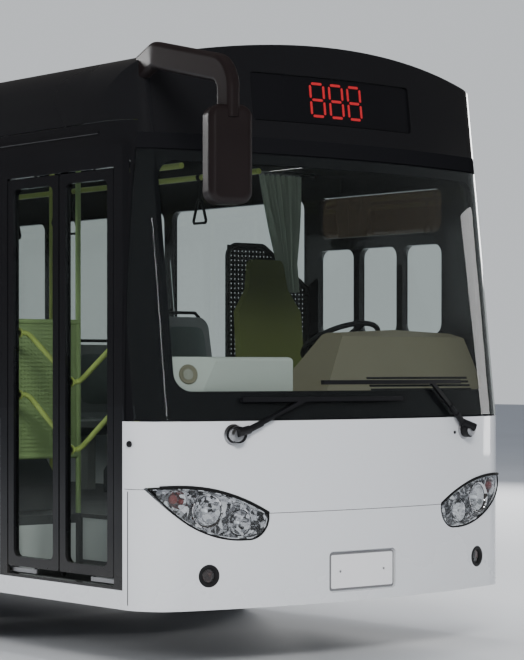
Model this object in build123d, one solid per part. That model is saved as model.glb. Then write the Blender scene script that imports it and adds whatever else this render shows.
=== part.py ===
from build123d import *
from functools import cache
import math
import os

# City bus with two inward-gliding double doors. Millimetres.
# X across (doors at -X, driver at +X), Y along (front at -Y), Z up from the road.

# The whole vehicle
LENGTH = 10500
WIDTH = 2500
SIDE_X = WIDTH / 2
MIRROR_AHEAD = 540
FRONT_Y = -(LENGTH + MIRROR_AHEAD) / 2 + MIRROR_AHEAD
REAR_Y = FRONT_Y + LENGTH
WALL = 45
SKIN = 25

# Heights of the body's seams
SKIRT_Z = 320
SEAM_Z = 790
LAMP_TIP_Z = 920
BELT_Z = 1260
SILL_Z = 1405
HEAD_Z = 2560
CANT_Z = 2760
ROOF_EDGE_Z = 3050
CROWN_Z = 3205

# Front: radius of the bow in plan, radius of its corners, how far the windscreen leans back
BOW_R = 4000
CORNER_R = 250
LEAN = 220
LEAN_RISE = 1750
REAR_CORNER_R = 180
REAR_BOW_R = 9000
ROOF_CORNER_R = 230

# Wheels: tyre 275/70 R 22.5
TYRE_R = 478
HUB_Z = TYRE_R
BORE_R = 46
TYRE_W = 276
RIM_R = 286
FRONT_AXLE_Y = FRONT_Y + 2550
WHEELBASE = 5200
REAR_AXLE_Y = FRONT_AXLE_Y + WHEELBASE
FRONT_WHEEL_X = 1055
KINGPIN_X = 925
TWIN_X = [760, 1072]
ARCH_R = 620

# Floor
FLOOR_Z = 720
FLOOR_T = 50
STEP_Z = 430
WELL_X = -720
BOX_TOP_Z = 1060
FRONT_BOX_X = 600
REAR_BOX_X = 575
BOX_WALL = 20

# Doorways: each opening's front edge, and the linkage that glides its two leaves inwards
DOORWAYS = {"front": FRONT_Y + 400, "mid": FRONT_Y + 4870}
LEAF_T = 36
LEAF_Z = [472, 2520]
TRACK_X = -SIDE_X + 2 + LEAF_T
ARM = 245
JAMB_W = 30
POST_R = 15
POST_IN = JAMB_W + 20
LEAF_IN = POST_IN + 32
LEAF_W = 2 * ARM - 32 + 18
MEET_GAP = 12
DOORWAY_W = 2 * (LEAF_IN + LEAF_W) + MEET_GAP
DOORWAY_Z = [415, 2640]
HEADER_BEAM_Z = 2558


def box(x0, x1, y0, y1, z0, z1):
    """Box between two corners."""
    size = (abs(x1 - x0), abs(y1 - y0), abs(z1 - z0))
    return Pos((x0 + x1) / 2, (y0 + y1) / 2, (z0 + z1) / 2) * Box(*size)


def slab(z0, z1):
    """Everything between two heights."""
    return box(-3000, 3000, -8000, 8000, z0, z1)


def rod(start, end, radius):
    """Round bar between two points."""
    axis = Vector(*end) - Vector(*start)
    plane = Plane(origin=start, z_dir=axis)
    return extrude(plane * Circle(radius), amount=axis.length)


def bent_tube(points, radius, bend):
    """Round bar along straight runs joined by bends."""
    path = FilletPolyline(*points, radius=bend)
    start = Plane(origin=path @ 0, z_dir=path % 0)
    return sweep(start * Circle(radius), path=path)


def plan_front(inset):
    """Body outline seen from above, its bowed nose at the origin, with round front corners."""
    half = SIDE_X - inset
    radius = BOW_R - inset
    sag = radius - math.sqrt(radius ** 2 - half ** 2)
    bow = ThreePointArc((-half, inset + sag), (0, inset), (half, inset + sag))
    back = Polyline((half, inset + sag), (half, 13000), (-half, 13000), (-half, inset + sag))
    outline = make_face([bow, back])
    corners = outline.vertices().sort_by(Axis.Y)[:2]
    return fillet(corners, CORNER_R - inset)


def plan_rear(inset):
    """Body outline seen from above, with its nearly flat rear and round rear corners."""
    half = SIDE_X - inset
    tail = REAR_Y - inset
    sag = REAR_BOW_R - math.sqrt(REAR_BOW_R ** 2 - half ** 2)
    bow = ThreePointArc((-half, tail - sag), (0, tail), (half, tail - sag))
    front = Polyline((half, tail - sag), (half, -8000), (-half, -8000), (-half, tail - sag))
    outline = make_face([bow, front])
    corners = outline.vertices().sort_by(Axis.Y)[-2:]
    return fillet(corners, REAR_CORNER_R - inset)


def cross_section(inset):
    """Body outline seen along its length: upright sides, round cant rails, arched roof."""
    half = SIDE_X - inset
    crown = CROWN_Z - inset
    edge = ROOF_EDGE_Z - inset
    roof = ThreePointArc((-half, edge), (0, crown), (half, edge))
    rest = Polyline((half, edge), (half, 0), (-half, 0), (-half, edge))
    outline = make_face([roof, rest])
    shoulders = outline.vertices().sort_by(Axis.Z)[-2:]
    return fillet(shoulders, ROOF_CORNER_R - inset)


@cache
def hull(inset):
    """The body as one solid, with the given distance taken off all round."""
    plan = plan_front(inset)
    lower = extrude(Pos(0, FRONT_Y, 0) * plan, amount=BELT_Z)
    leaning = Plane(origin=(0, FRONT_Y, BELT_Z), x_dir=(1, 0, 0), z_dir=(0, LEAN, LEAN_RISE))
    upper = extrude(leaning * plan, amount=4500, both=True) & slab(BELT_Z, 4000)
    tail = extrude(plan_rear(inset), amount=4000)
    tunnel = extrude(Plane.XZ * cross_section(inset), amount=8000, both=True)
    return (lower & tail & tunnel) + (upper & tail & tunnel)


OUTER = hull(0)
WALL_SHELL = OUTER - hull(WALL)
SKIN_SHELL = OUTER - hull(SKIN)

# Seams along the body
CORNER_Y = FRONT_Y + 386
HEADER_Y = FRONT_Y + 760
TAIL_Y = REAR_Y - 220
GLASS_T = 6
SEAM = 3

# Side windows: front edge and rear edge, measured from the nose
WINDOWS = {
    "left": [(1900, 3260), (3340, 4700), (4780, 6140), (6220, 7580),
             (7660, 9020), (9100, 10230)],
    "right": [(1640, 3170), (3250, 4770), (6110, 7460), (7540, 8890), (8970, 10230)],
}
WINDOW_R = 60
DRIVER_PANES = [(680, 1770, 2310, 2560), (680, 1010, 1720, 2240), (1060, 1390, 1720, 2240),
                (1440, 1770, 1720, 2240)]
REAR_ARCH_R = 560
ARCHES = [(FRONT_AXLE_Y, ARCH_R), (REAR_AXLE_Y, REAR_ARCH_R)]
SIDE_SIGN = {"left": 1, "right": -1}


def side_opening(side, y0, y1, z0, z1, radius):
    """Round-cornered hole through one side wall."""
    outline = Pos((y0 + y1) / 2, (z0 + z1) / 2) * RectangleRounded(y1 - y0, z1 - z0, radius)
    depth = SIDE_SIGN[side] * 2 * (SIDE_X - 1000)
    start = SIDE_SIGN[side] * 1000
    return extrude(Plane(origin=(start, 0, 0), x_dir=(0, 1, 0), z_dir=(1, 0, 0)) * outline, amount=depth)


def doorway_holes():
    """Both doorways, cut through the right wall from the sill up."""
    holes = Part()
    for y0 in DOORWAYS.values():
        holes += box(-SIDE_X - 50, -1000, y0, y0 + DOORWAY_W, *DOORWAY_Z)
    return holes


def arch_holes(x0, x1):
    """Both wheel arches between two distances from the middle of the bus."""
    holes = Part()
    for y, radius in ARCHES:
        drum = Pos((x0 + x1) / 2, y, TYRE_R) * Rot(0, 90, 0) * Cylinder(radius, abs(x1 - x0))
        holes += drum + box(x0, x1, y - radius, y + radius, 0, TYRE_R)
    return holes


def side_half(side):
    """Everything on one side of the bus, between the front corner and the rear corner."""
    sign = SIDE_SIGN[side]
    return box(sign * 1000, sign * 1400, CORNER_Y, TAIL_Y, 0, 4000)


def skirt(side):
    """White lower wall of one side, with its wheel arches and doorways."""
    panel = WALL_SHELL & side_half(side) & slab(SKIRT_Z, BELT_Z - SEAM)
    panel -= arch_holes(SIDE_SIGN[side] * 900, SIDE_SIGN[side] * 1400)
    if side == "right":
        panel -= doorway_holes()
    return panel


def window_holes(side):
    """The windows of one side."""
    holes = Part()
    for y0, y1 in WINDOWS[side]:
        holes += side_opening(side, FRONT_Y + y0, FRONT_Y + y1, SILL_Z, HEAD_Z, WINDOW_R)
    if side == "left":
        for y0, y1, z0, z1 in DRIVER_PANES:
            holes += side_opening(side, FRONT_Y + y0, FRONT_Y + y1, z0, z1, WINDOW_R)
    return holes


def window_band(side):
    """Black upper wall of one side: pillars, sill and head of the windows."""
    panel = WALL_SHELL & side_half(side) & slab(BELT_Z, CANT_Z)
    panel -= window_holes(side)
    if side == "right":
        panel -= doorway_holes()
    return panel


def side_glass(side):
    """The panes of one side, set in from the outside of the wall."""
    sign = SIDE_SIGN[side]
    sheet = box(sign * (SIDE_X - 8 - GLASS_T), sign * (SIDE_X - 8), -8000, 8000, 0, 4000)
    return window_holes(side) & sheet


# Roof
HATCH = [-400, 400, FRONT_Y + 3900, FRONT_Y + 4800]
HATCH_GAP = 8
HATCH_CURB = 30
HATCH_LIFT = 45


def roof():
    """Arched roof with both cant rails and one hatch opening."""
    shell = WALL_SHELL & box(-1400, 1400, HEADER_Y, TAIL_Y, CANT_Z + SEAM, 4000)
    x0, x1, y0, y1 = HATCH
    rim = HATCH_CURB
    curb = box(x0 - rim, x1 + rim, y0 - rim, y1 + rim, CROWN_Z - 70, CROWN_Z + HATCH_LIFT - 20)
    shell += curb - hull(WALL)
    return shell - box(x0, x1, y0, y1, 2500, 4000)


def roof_hatch():
    """Shallow lid over the hatch opening, with its rim outside the curb."""
    x0, x1, y0, y1 = HATCH
    out = HATCH_CURB + HATCH_GAP + 12
    lid = box(x0 - out, x1 + out, y0 - out, y1 + out, CROWN_Z + 5, CROWN_Z + HATCH_LIFT)
    lid = fillet(lid.edges().filter_by(Axis.Z), 40)
    lid = chamfer(lid.faces().sort_by(Axis.Z)[-1].edges(), 12)
    inner = out - 12
    return lid - box(x0 - inner, x1 + inner, y0 - inner, y1 + inner, 0, CROWN_Z + HATCH_LIFT - 14)

# Front: clear part of the windscreen, display window, lamps, plate recess
CLEAR_X = 1090
CLEAR_R = 90
DISPLAY_W = 1100
DISPLAY_Z = [2790, 3040]
PLATE_W = 460
PLATE_Z = [370, 580]
PLATE_DEPTH = 22
PLATE_T = 12
PLATE_HOLE_X = 150
PLATE_HOLE_R = 3.5
FOG_X = 930
FOG_Z = 490
FOG_R = 48
WIPER_X = 800
WIPER_Z = 1190
# Each wiper: side, how far across its arm reaches, height of its blade
WIPERS = [(-1, 380, 1352), (1, 500, 1438)]


def front_opening(width, z0, z1, radius, y0, y1):
    """Round-cornered prism along Y, centred across the bus."""
    outline = Pos(0, (z0 + z1) / 2) * RectangleRounded(width, z1 - z0, radius)
    return extrude(Plane(origin=(0, y1, 0), x_dir=(1, 0, 0), z_dir=(0, -1, 0)) * outline, amount=y1 - y0)


def nose_zone(z0, z1):
    """Everything ahead of the front corners' seam, between two heights."""
    return box(-1400, 1400, FRONT_Y - 100, CORNER_Y, z0, z1)


def lamp_outline(grow):
    """Almond headlamp seen from the front, left lamp, wider by the given gap."""
    top = ThreePointArc((1212, 925), (930, 915), (600, 790))
    end = ThreePointArc((600, 790), (625, 705), (720, 665))
    foot = ThreePointArc((720, 665), (985, 720), (1212, 925))
    outline = make_face([top, end, foot])
    return offset(outline, amount=grow) if grow else outline


def lamp_prism(grow):
    """Both headlamp outlines, run back through the front panels."""
    face = Plane(origin=(0, CORNER_Y + 60, 0), x_dir=(1, 0, 0), z_dir=(0, -1, 0)) * lamp_outline(grow)
    left = extrude(face, amount=CORNER_Y + 60 - FRONT_Y + 50)
    return left + mirror(left, Plane.YZ)


def bumper_corners(gap):
    """Where the bumper rises outside both headlamps, taller by the given gap."""
    outline = make_face(Polyline((800, SEAM_Z - 1), (800, SEAM_Z + gap), (1190, LAMP_TIP_Z + gap),
                                 (1400, LAMP_TIP_Z + gap), (1400, SEAM_Z - 1), close=True))
    face = Plane(origin=(0, CORNER_Y, 0), x_dir=(1, 0, 0), z_dir=(0, -1, 0)) * outline
    corner = extrude(face, amount=CORNER_Y - FRONT_Y + 100)
    return corner + mirror(corner, Plane.YZ)


def front_frame():
    """Black header, windscreen pillars and the band under the windscreen."""
    ahead = box(-1400, 1400, FRONT_Y - 100, HEADER_Y, CANT_Z + SEAM, 4000)
    frame = WALL_SHELL & (nose_zone(BELT_Z, CANT_Z + SEAM) + ahead)
    frame -= front_opening(2 * CLEAR_X, SILL_Z, HEAD_Z, CLEAR_R, FRONT_Y - 100, CORNER_Y)
    recess = front_opening(DISPLAY_W, *DISPLAY_Z, 20, FRONT_Y - 100, HEADER_Y)
    frame -= recess - hull(18)
    glazed = OUTER - hull(GLASS_T + 2)
    return frame - (glazed & nose_zone(BELT_Z, HEAD_Z + 60))


def windscreen():
    """One-piece glass that wraps both front corners and laps the black frame."""
    sheet = hull(0.5) - hull(GLASS_T + 0.5)
    return sheet & nose_zone(BELT_Z + 6, HEAD_Z + 52) & box(-1235, 1235, -8000, 0, 0, 4000)


def display():
    """Destination display: a dark window in the header's recess."""
    inner = front_opening(DISPLAY_W - 8, DISPLAY_Z[0] + 4, DISPLAY_Z[1] - 4, 18, FRONT_Y - 100, HEADER_Y)
    return (hull(10) - hull(16)) & inner


def nose_panel():
    """White panel between the bumper and the windscreen."""
    panel = SKIN_SHELL & nose_zone(SEAM_Z + SEAM, BELT_Z - SEAM)
    return panel - lamp_prism(6) - bumper_corners(SEAM)


def front_bumper():
    """White bumper with the lamp cut-outs, the fog lamp bores and the plate recess."""
    panel = SKIN_SHELL & (nose_zone(SKIRT_Z, SEAM_Z) + bumper_corners(0)) - lamp_prism(6)
    plate = front_opening(PLATE_W, *PLATE_Z, 25, FRONT_Y - 100, CORNER_Y)
    flat_y = FRONT_Y + PLATE_DEPTH
    tray = front_opening(PLATE_W + 60, PLATE_Z[0] - 30, PLATE_Z[1] + 30, 40, flat_y, flat_y + PLATE_T)
    panel = (panel - plate) + tray
    for x in (-PLATE_HOLE_X, PLATE_HOLE_X):
        panel -= Pos(x, flat_y, sum(PLATE_Z) / 2) * Rot(90, 0, 0) * Cylinder(PLATE_HOLE_R, 100)
    for sign in (-1, 1):
        panel -= Pos(sign * FOG_X, FRONT_Y + 150, FOG_Z) * Rot(90, 0, 0) * Cylinder(FOG_R + 3, 500)
    return panel


def headlamps():
    """Lamp housings: an almond tray behind the lens with three bowls, and the two fog lamps."""
    ahead = nose_zone(0, BELT_Z) & box(-1300, 1300, -8000, CORNER_Y - 6, 0, BELT_Z)
    tray = (hull(60) - hull(75)) & lamp_prism(0)
    rim = (hull(8) - hull(74)) & (lamp_prism(0) - lamp_prism(-9))
    lamps = (tray + rim) & ahead
    for sign in (-1, 1):
        barrel = Pos(sign * FOG_X, FRONT_Y + 190, FOG_Z) * Rot(90, 0, 0) * Cylinder(FOG_R, 220)
        barrel -= Pos(sign * FOG_X, FRONT_Y + 140, FOG_Z) * Rot(90, 0, 0) * Cylinder(FOG_R - 7, 220)
        lamps += barrel & hull(4)
    return lamps


def lamp_lenses():
    """Clear lenses of the headlamps and of the fog lamps."""
    lens = (hull(2) - hull(7)) & lamp_prism(0)
    for sign in (-1, 1):
        disc = Pos(sign * FOG_X, FRONT_Y + 150, FOG_Z) * Rot(90, 0, 0) * Cylinder(FOG_R - 7.5, 400)
        lens += (hull(9) - hull(13)) & disc
    return lens


# Rear: window, engine lid, lamps
REAR_GLASS_W = 1900
REAR_GLASS_Z = [1750, 2560]
LID_W = 1500
LID_Z = [600, 1340]
LID_TOP_GAP = 15
LID_SLOT_ROWS = 5
REAR_LAMP_X = 1010
REAR_LAMP_R = 62
REAR_LAMP_Z = [820, 970, 1120]
REAR_BUMPER_Z = 560


def rear_opening(width, z0, z1, radius):
    """Round-cornered prism through the rear wall, centred across the bus."""
    outline = Pos(0, (z0 + z1) / 2) * RectangleRounded(width, z1 - z0, radius)
    return extrude(Plane(origin=(0, TAIL_Y, 0), x_dir=(1, 0, 0), z_dir=(0, -1, 0)) * outline, amount=-500)


def rear_zone(z0, z1):
    """Everything behind the rear corners' seam, between two heights."""
    return box(-1400, 1400, TAIL_Y, REAR_Y + 100, z0, z1)


def rear_wall():
    """Rear wall with the window, the engine lid's opening and the lamp bores."""
    wall = WALL_SHELL & rear_zone(REAR_BUMPER_Z + SEAM, 4000)
    wall -= rear_opening(REAR_GLASS_W, *REAR_GLASS_Z, 80)
    wall -= rear_opening(LID_W, *LID_Z, 30)
    for sign in (-1, 1):
        for z in REAR_LAMP_Z:
            wall -= Pos(sign * REAR_LAMP_X, REAR_Y, z) * Rot(90, 0, 0) * Cylinder(REAR_LAMP_R + 3, 500)
    return wall


def rear_glass():
    """Rear window pane."""
    return (hull(8) - hull(8 + GLASS_T)) & rear_opening(REAR_GLASS_W, *REAR_GLASS_Z, 80)


def rear_lamps():
    """Three round lamps on each side of the engine lid."""
    lamps = Part()
    for sign in (-1, 1):
        for z in REAR_LAMP_Z:
            bore = Pos(sign * REAR_LAMP_X, REAR_Y, z) * Rot(90, 0, 0) * Cylinder(REAR_LAMP_R, 500)
            lamps += (hull(2) - hull(40)) & bore & rear_zone(0, 4000)
    return lamps


def rear_bumper():
    """Black rear bumper."""
    return (OUTER - hull(60)) & rear_zone(SKIRT_Z + 20, REAR_BUMPER_Z)


def engine_lid():
    """Panel over the engine with cooling slots, in its own opening with a gap all round."""
    gap = 10
    lid = (hull(1) - hull(WALL - 10)) & rear_opening(LID_W - 2 * gap, LID_Z[0] + gap, LID_Z[1] - LID_TOP_GAP, 24)
    for row in range(LID_SLOT_ROWS):
        z = LID_Z[0] + 150 + 60 * row
        for x in (-380, 0, 380):
            face = Plane(origin=(x, REAR_Y + 50, z), x_dir=(1, 0, 0), z_dir=(0, -1, 0))
            lid -= extrude(face * SlotOverall(300, 26), amount=300)
    return lid

# Floor
FLOOR_FRONT_Y = FRONT_Y + 330
PLATFORM_Z = 1080
PLATFORM_Y = REAR_Y - 1500
STEP_T = 40


def wheel_box(y, inner_x, half_length, side):
    """Sheet box over one wheel, open below and to the outside."""
    sign = SIDE_SIGN[side]
    x0, x1 = sign * inner_x, sign * (SIDE_X - WALL)
    outer = box(x0, x1, y - half_length, y + half_length, FLOOR_Z - FLOOR_T, BOX_TOP_Z)
    outer = chamfer(outer.faces().sort_by(Axis.Z)[-1].edges().filter_by(Axis.X), 200)
    wall = BOX_WALL
    inner = box(x0 + sign * wall, x1, y - half_length + wall, y + half_length - wall, 0, BOX_TOP_Z - wall)
    inner = chamfer(inner.faces().sort_by(Axis.Z)[-1].edges().filter_by(Axis.X), 190)
    return outer, inner


def step_well(y0):
    """Sunk step inside one doorway: tread, riser towards the saloon and two cheeks."""
    x0, x1 = -SIDE_X + WALL + 1, WELL_X
    y1 = y0 + DOORWAY_W
    cheek = 30
    outer = box(x0, x1 + cheek, y0 - 45, y1 + 45, STEP_Z - STEP_T, FLOOR_Z)
    hollow = box(-SIDE_X - 50, x1, y0 - 45 + cheek, y1 + 45 - cheek, STEP_Z, 2000)
    return outer, hollow


def floor():
    """Saloon floor with wheel boxes, step wells and the raised rear platform."""
    y0, y1 = FLOOR_FRONT_Y, REAR_Y - 80
    plate = hull(WALL) & box(-1400, 1400, y0, y1, FLOOR_Z - FLOOR_T, FLOOR_Z)
    cuts = []
    for side in SIDE_SIGN:
        for y, inner_x, half in ((FRONT_AXLE_Y, FRONT_BOX_X, 640), (REAR_AXLE_Y, REAR_BOX_X, 560)):
            outer, inner = wheel_box(y, inner_x, half, side)
            plate += outer
            cuts.append(inner)
    for y in DOORWAYS.values():
        outer, hollow = step_well(y)
        plate += outer
        cuts.append(hollow)
    raised = hull(WALL) & box(-1400, 1400, PLATFORM_Y, y1, PLATFORM_Z - FLOOR_T, PLATFORM_Z)
    riser = hull(WALL) & box(-1400, 1400, PLATFORM_Y, PLATFORM_Y + 30, FLOOR_Z - 1, PLATFORM_Z)
    bay = box(-1400, 1400, PLATFORM_Y + 30, y1, 0, FLOOR_Z + 1)
    for cut in cuts:
        plate -= cut
    step = box(160, 1205, FRONT_Y + 621, FRONT_Y + 1849, FLOOR_Z - 1, DRIVER_FLOOR_Z)
    step -= box(180, 1205, FRONT_Y + 641, FRONT_Y + 1829, 0, DRIVER_FLOOR_Z - 20)
    return (plate - bay) + raised + riser + step


# Underframe: rails, crossmembers and outriggers
RAIL_X = 400
RAIL_W = 80
RAIL_Z = [500, 660]
RAIL_WEB = 10
CROSS_Y = [420, 1500, 1900, 3250, 4300, 5400, 6500, 7150, 8350, 9000, 10320]
OUTRIGGER_Y = [4300, 6500, 9000]
JACK_PAD = 140
TOW_EYE_R = 24


def channel(length, width, height, web):
    """C-section beam along Y, open towards -X, its middle at the origin."""
    section = Rectangle(width, height) - Pos(-web, 0) * Rectangle(width, height - 2 * web)
    return extrude(Plane.XZ * section, amount=length / 2, both=True)


def underframe():
    """Two long C rails tied by tubes, with outriggers, axle brackets, jack pads and a tow eye."""
    mid_z = (RAIL_Z[0] + RAIL_Z[1]) / 2
    height = RAIL_Z[1] - RAIL_Z[0]
    y0, y1 = FRONT_Y + 300, REAR_Y - 120
    rail = channel(y1 - y0, RAIL_W, height, RAIL_WEB)
    frame = Pos(RAIL_X, (y0 + y1) / 2, mid_z) * rail
    frame += mirror(frame, Plane.YZ)
    web_x = RAIL_X + RAIL_W / 2 - 1
    for y in CROSS_Y:
        frame += box(-web_x, web_x, FRONT_Y + y - 30, FRONT_Y + y + 30, mid_z - 45, mid_z + 45)
    reach = SIDE_X - WALL
    for y in OUTRIGGER_Y:
        for sign in (-1, 1):
            arm = box(sign * RAIL_X, sign * reach, FRONT_Y + y - 25, FRONT_Y + y + 25, mid_z - 30, RAIL_Z[1])
            frame += arm
    for y in (FRONT_Y + 3550, FRONT_Y + 6700):
        for sign in (-1, 1):
            x = sign * RAIL_X
            frame += box(x - JACK_PAD / 2, x + JACK_PAD / 2, y - JACK_PAD / 2, y + JACK_PAD / 2,
                         RAIL_Z[0] - 20, RAIL_Z[0] + RAIL_WEB)
    frame -= Pos(0, REAR_AXLE_Y, HUB_Z) * Rot(0, 90, 0) * Cylinder(110, 2000)
    lug = box(-230, -110, FRONT_Y + 205, FRONT_Y + 330, 545, 585)
    lug -= Pos(-170, FRONT_Y + 265, 565) * Cylinder(TOW_EYE_R, 100)
    nose = box(-web_x, web_x, FRONT_Y + 290, FRONT_Y + 360, mid_z - 60, mid_z + 60)
    return frame + (nose + lug)


# Axles
KINGPIN_R = 22
EYE_R = 45
EYE_H = 110
SPRING_R = 120
SPRING_Y = 330


def air_spring(x, y, z0, z1):
    """Rolled air bellows between an axle seat and a rail."""
    waist = SPRING_R * 0.86
    third = (z1 - z0) / 4
    profile = make_face([
        Polyline((0, z0), (0, z1), (SPRING_R, z1), (SPRING_R, z1 - third)),
        ThreePointArc((SPRING_R, z1 - third), (waist, (z0 + z1) / 2), (SPRING_R, z0 + third)),
        Polyline((SPRING_R, z0 + third), (SPRING_R, z0), (0, z0)),
    ])
    return Pos(x, y, 0) * revolve(Plane.XZ * profile, Axis.Z)


def front_axle():
    """Dropped beam between the kingpin eyes, carried by four air springs on arms."""
    drop = 60
    points = [(-KINGPIN_X, HUB_Z), (-560, HUB_Z - drop), (560, HUB_Z - drop), (KINGPIN_X, HUB_Z)]
    half = 40
    beam = Part()
    for (xa, za), (xb, zb) in zip(points, points[1:]):
        outline = Polyline((xa, za - half), (xb, zb - half), (xb, zb + half), (xa, za + half), close=True)
        beam += extrude(Pos(0, FRONT_AXLE_Y, 0) * (Plane.XZ * make_face(outline)), amount=45, both=True)
    for sign in (-1, 1):
        eye = Pos(sign * KINGPIN_X, FRONT_AXLE_Y, HUB_Z) * Cylinder(EYE_R, EYE_H)
        beam += eye
    for sign in (-1, 1):
        beam -= Pos(sign * KINGPIN_X, FRONT_AXLE_Y, HUB_Z) * Cylinder(KINGPIN_R + 0.5, 200)
        x = sign * RAIL_X
        y = FRONT_AXLE_Y
        arm = box(x - 45, x + 45, y - SPRING_Y - 60, y + SPRING_Y + 60, HUB_Z - drop - 75, HUB_Z - drop - 30)
        beam += arm
        for end in (-1, 1):
            beam += air_spring(x, y + end * SPRING_Y, HUB_Z - drop - 31, RAIL_Z[0])
    return beam


def rear_axle():
    """Drive axle: banjo housing, tubes, four air springs and stub ends in the hubs."""
    y, z = REAR_AXLE_Y, HUB_Z
    axle = Pos(0, y, z) * Rot(0, 90, 0) * Cylinder(62, 2 * 700)
    ball = Pos(0, y, z) * Sphere(185) & box(-120, 120, y - 300, y + 300, 0, 1000)
    axle += ball
    axle += Pos(0, y + 150, z) * Rot(90, 0, 0) * Cylinder(70, 300)
    for sign in (-1, 1):
        axle += Pos(sign * 847, y, z) * Rot(0, 90, 0) * Cylinder(BORE_R - 1, 514)
        axle += Pos(sign * 560, y, z) * Rot(0, 90, 0) * Cylinder(150, 40)
        x = sign * RAIL_X
        axle += box(x - 50, x + 50, y - SPRING_Y - 60, y + SPRING_Y + 60, z - 105, z - 50)
        for end in (-1, 1):
            axle += air_spring(x, y + end * SPRING_Y, z - 51, RAIL_Z[0])
    return axle


def knuckle(sign):
    """Steering knuckle: fork round the beam's eye, kingpin, brake disc and wheel spindle."""
    x, y, z = sign * KINGPIN_X, FRONT_AXLE_Y, HUB_Z
    gap = 6
    pin = Pos(x, y, z) * Cylinder(KINGPIN_R, EYE_H + 2 * gap + 40)
    lug_h = 34
    part = pin
    for end in (-1, 1):
        lug_z = z + end * (EYE_H / 2 + gap + lug_h / 2)
        part += Pos(x, y, lug_z) * Cylinder(EYE_R, lug_h)
        part += box(x, x + sign * 70, y - 40, y + 40, lug_z - lug_h / 2, lug_z + lug_h / 2)
    part += box(x + sign * 56, x + sign * 76, y - 60, y + 60, z - 95, z + 95)
    part += Pos(x + sign * 82, y, z) * Rot(0, 90, 0) * Cylinder(190, 24)
    part += Pos(x + sign * 140, y, z) * Rot(0, 90, 0) * Cylinder(BORE_R - 1, 156)
    part += box(x - 20, x + 20, y + 30, y + 210, z - 95, z - 70)
    return part

# Wheels
TREAD_R = 60
BARREL_T = 24
BARREL_HALF = 105
TWIN_MID_X = (TWIN_X[0] + TWIN_X[1]) / 2


def spun(points, radius, x, y):
    """Ring turned about an axle from a closed outline of (axial, radial) points."""
    outline = make_face(Polyline(*points, close=True))
    if radius:
        outline = fillet(outline.vertices().sort_by(Axis.Y)[-2:], radius)
    ring = revolve(outline, Axis.X)
    return Pos(x, y, HUB_Z) * ring


def tyre(x, y):
    """One tyre with round shoulders."""
    half = TYRE_W / 2
    outline = [(-half + 30, RIM_R), (-half, RIM_R + 90), (-half, TYRE_R), (half, TYRE_R), (half, RIM_R + 90),
               (half - 30, RIM_R)]
    return spun(outline, TREAD_R, x, y)


def rim_front(sign):
    """Front wheel: barrel, dished disc with hand holes, and hub with its cap."""
    x, y = sign * FRONT_WHEEL_X, FRONT_AXLE_Y
    inner_r = RIM_R - BARREL_T
    half = BARREL_HALF
    barrel = [(-half, inner_r), (half, inner_r), (half, RIM_R), (-half, RIM_R)]
    disc = [(50, 100), (62, 100), (40, inner_r + 5), (28, inner_r + 5)]
    hub = [(-30, BORE_R), (100, BORE_R), (100, 0), (122, 0), (122, 60), (100, 78), (62, 105), (-30, 105)]
    wheel = Part()
    for outline in (barrel, disc, hub):
        wheel += spun([(sign * a, r) for a, r in outline], 0, x, y)
    for hole in range(10):
        turn = math.radians(36 * hole)
        centre = (x + sign * 45, y + 200 * math.cos(turn), HUB_Z + 200 * math.sin(turn))
        wheel -= Pos(*centre) * Rot(0, 90, 0) * Cylinder(24, 120)
    return wheel


def rims_rear(sign):
    """Rear twin wheels: two barrels bolted back to back on one hub."""
    inner_r = RIM_R - BARREL_T
    mid = TWIN_MID_X
    left, right = TWIN_X[0] - BARREL_HALF - mid, TWIN_X[1] + BARREL_HALF - mid
    barrel = [(left, inner_r), (right, inner_r), (right, RIM_R), (left, RIM_R)]
    plate = [(-12, 100), (12, 100), (12, inner_r + 5), (-12, inner_r + 5)]
    hub = [(-60, BORE_R), (200, BORE_R), (200, 0), (222, 0), (222, 80), (200, 105), (60, 118), (-60, 118)]
    wheel = Part()
    for outline in (barrel, plate, hub):
        wheel += spun([(sign * a, r) for a, r in outline], 0, sign * mid, REAR_AXLE_Y)
    for hole in range(10):
        turn = math.radians(36 * hole)
        centre = (sign * mid, REAR_AXLE_Y + 200 * math.cos(turn), HUB_Z + 200 * math.sin(turn))
        wheel -= Pos(*centre) * Rot(0, 90, 0) * Cylinder(24, 120)
    return wheel


# Cab
DASH_TOP_Z = 1735
SHELF_Z = 1400
DRIVER_X = 700
DRIVER_FLOOR_Z = 970
SEAT_Y = FRONT_Y + 1400
COLUMN_FOOT = (DRIVER_X, FRONT_Y + 760, 1350)
WHEEL_Z = 1670
DASH_BOX = [-1130, -330, 1386, 1578]
STEER_TILT = 28
WHEEL_RING_R = 225
WHEEL_RING_T = 15


def dashboard():
    """Shelf under the windscreen, driver's console and the steering column."""
    shelf = hull(WALL + 6) & box(-1150, 1150, FRONT_Y, FRONT_Y + 620, SHELF_Z - 60, SHELF_Z - 15)
    front = hull(WALL + 6) & box(-1150, 1150, FRONT_Y + 575, FRONT_Y + 620, FLOOR_Z, SHELF_Z - 16)
    doorway = box(-1400, -700, FRONT_Y + 385, FRONT_Y + 700, 0, 3000)
    column = rod(COLUMN_FOOT, steer_point(-70), 45)
    return (shelf + front + console() - doorway) + column


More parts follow.
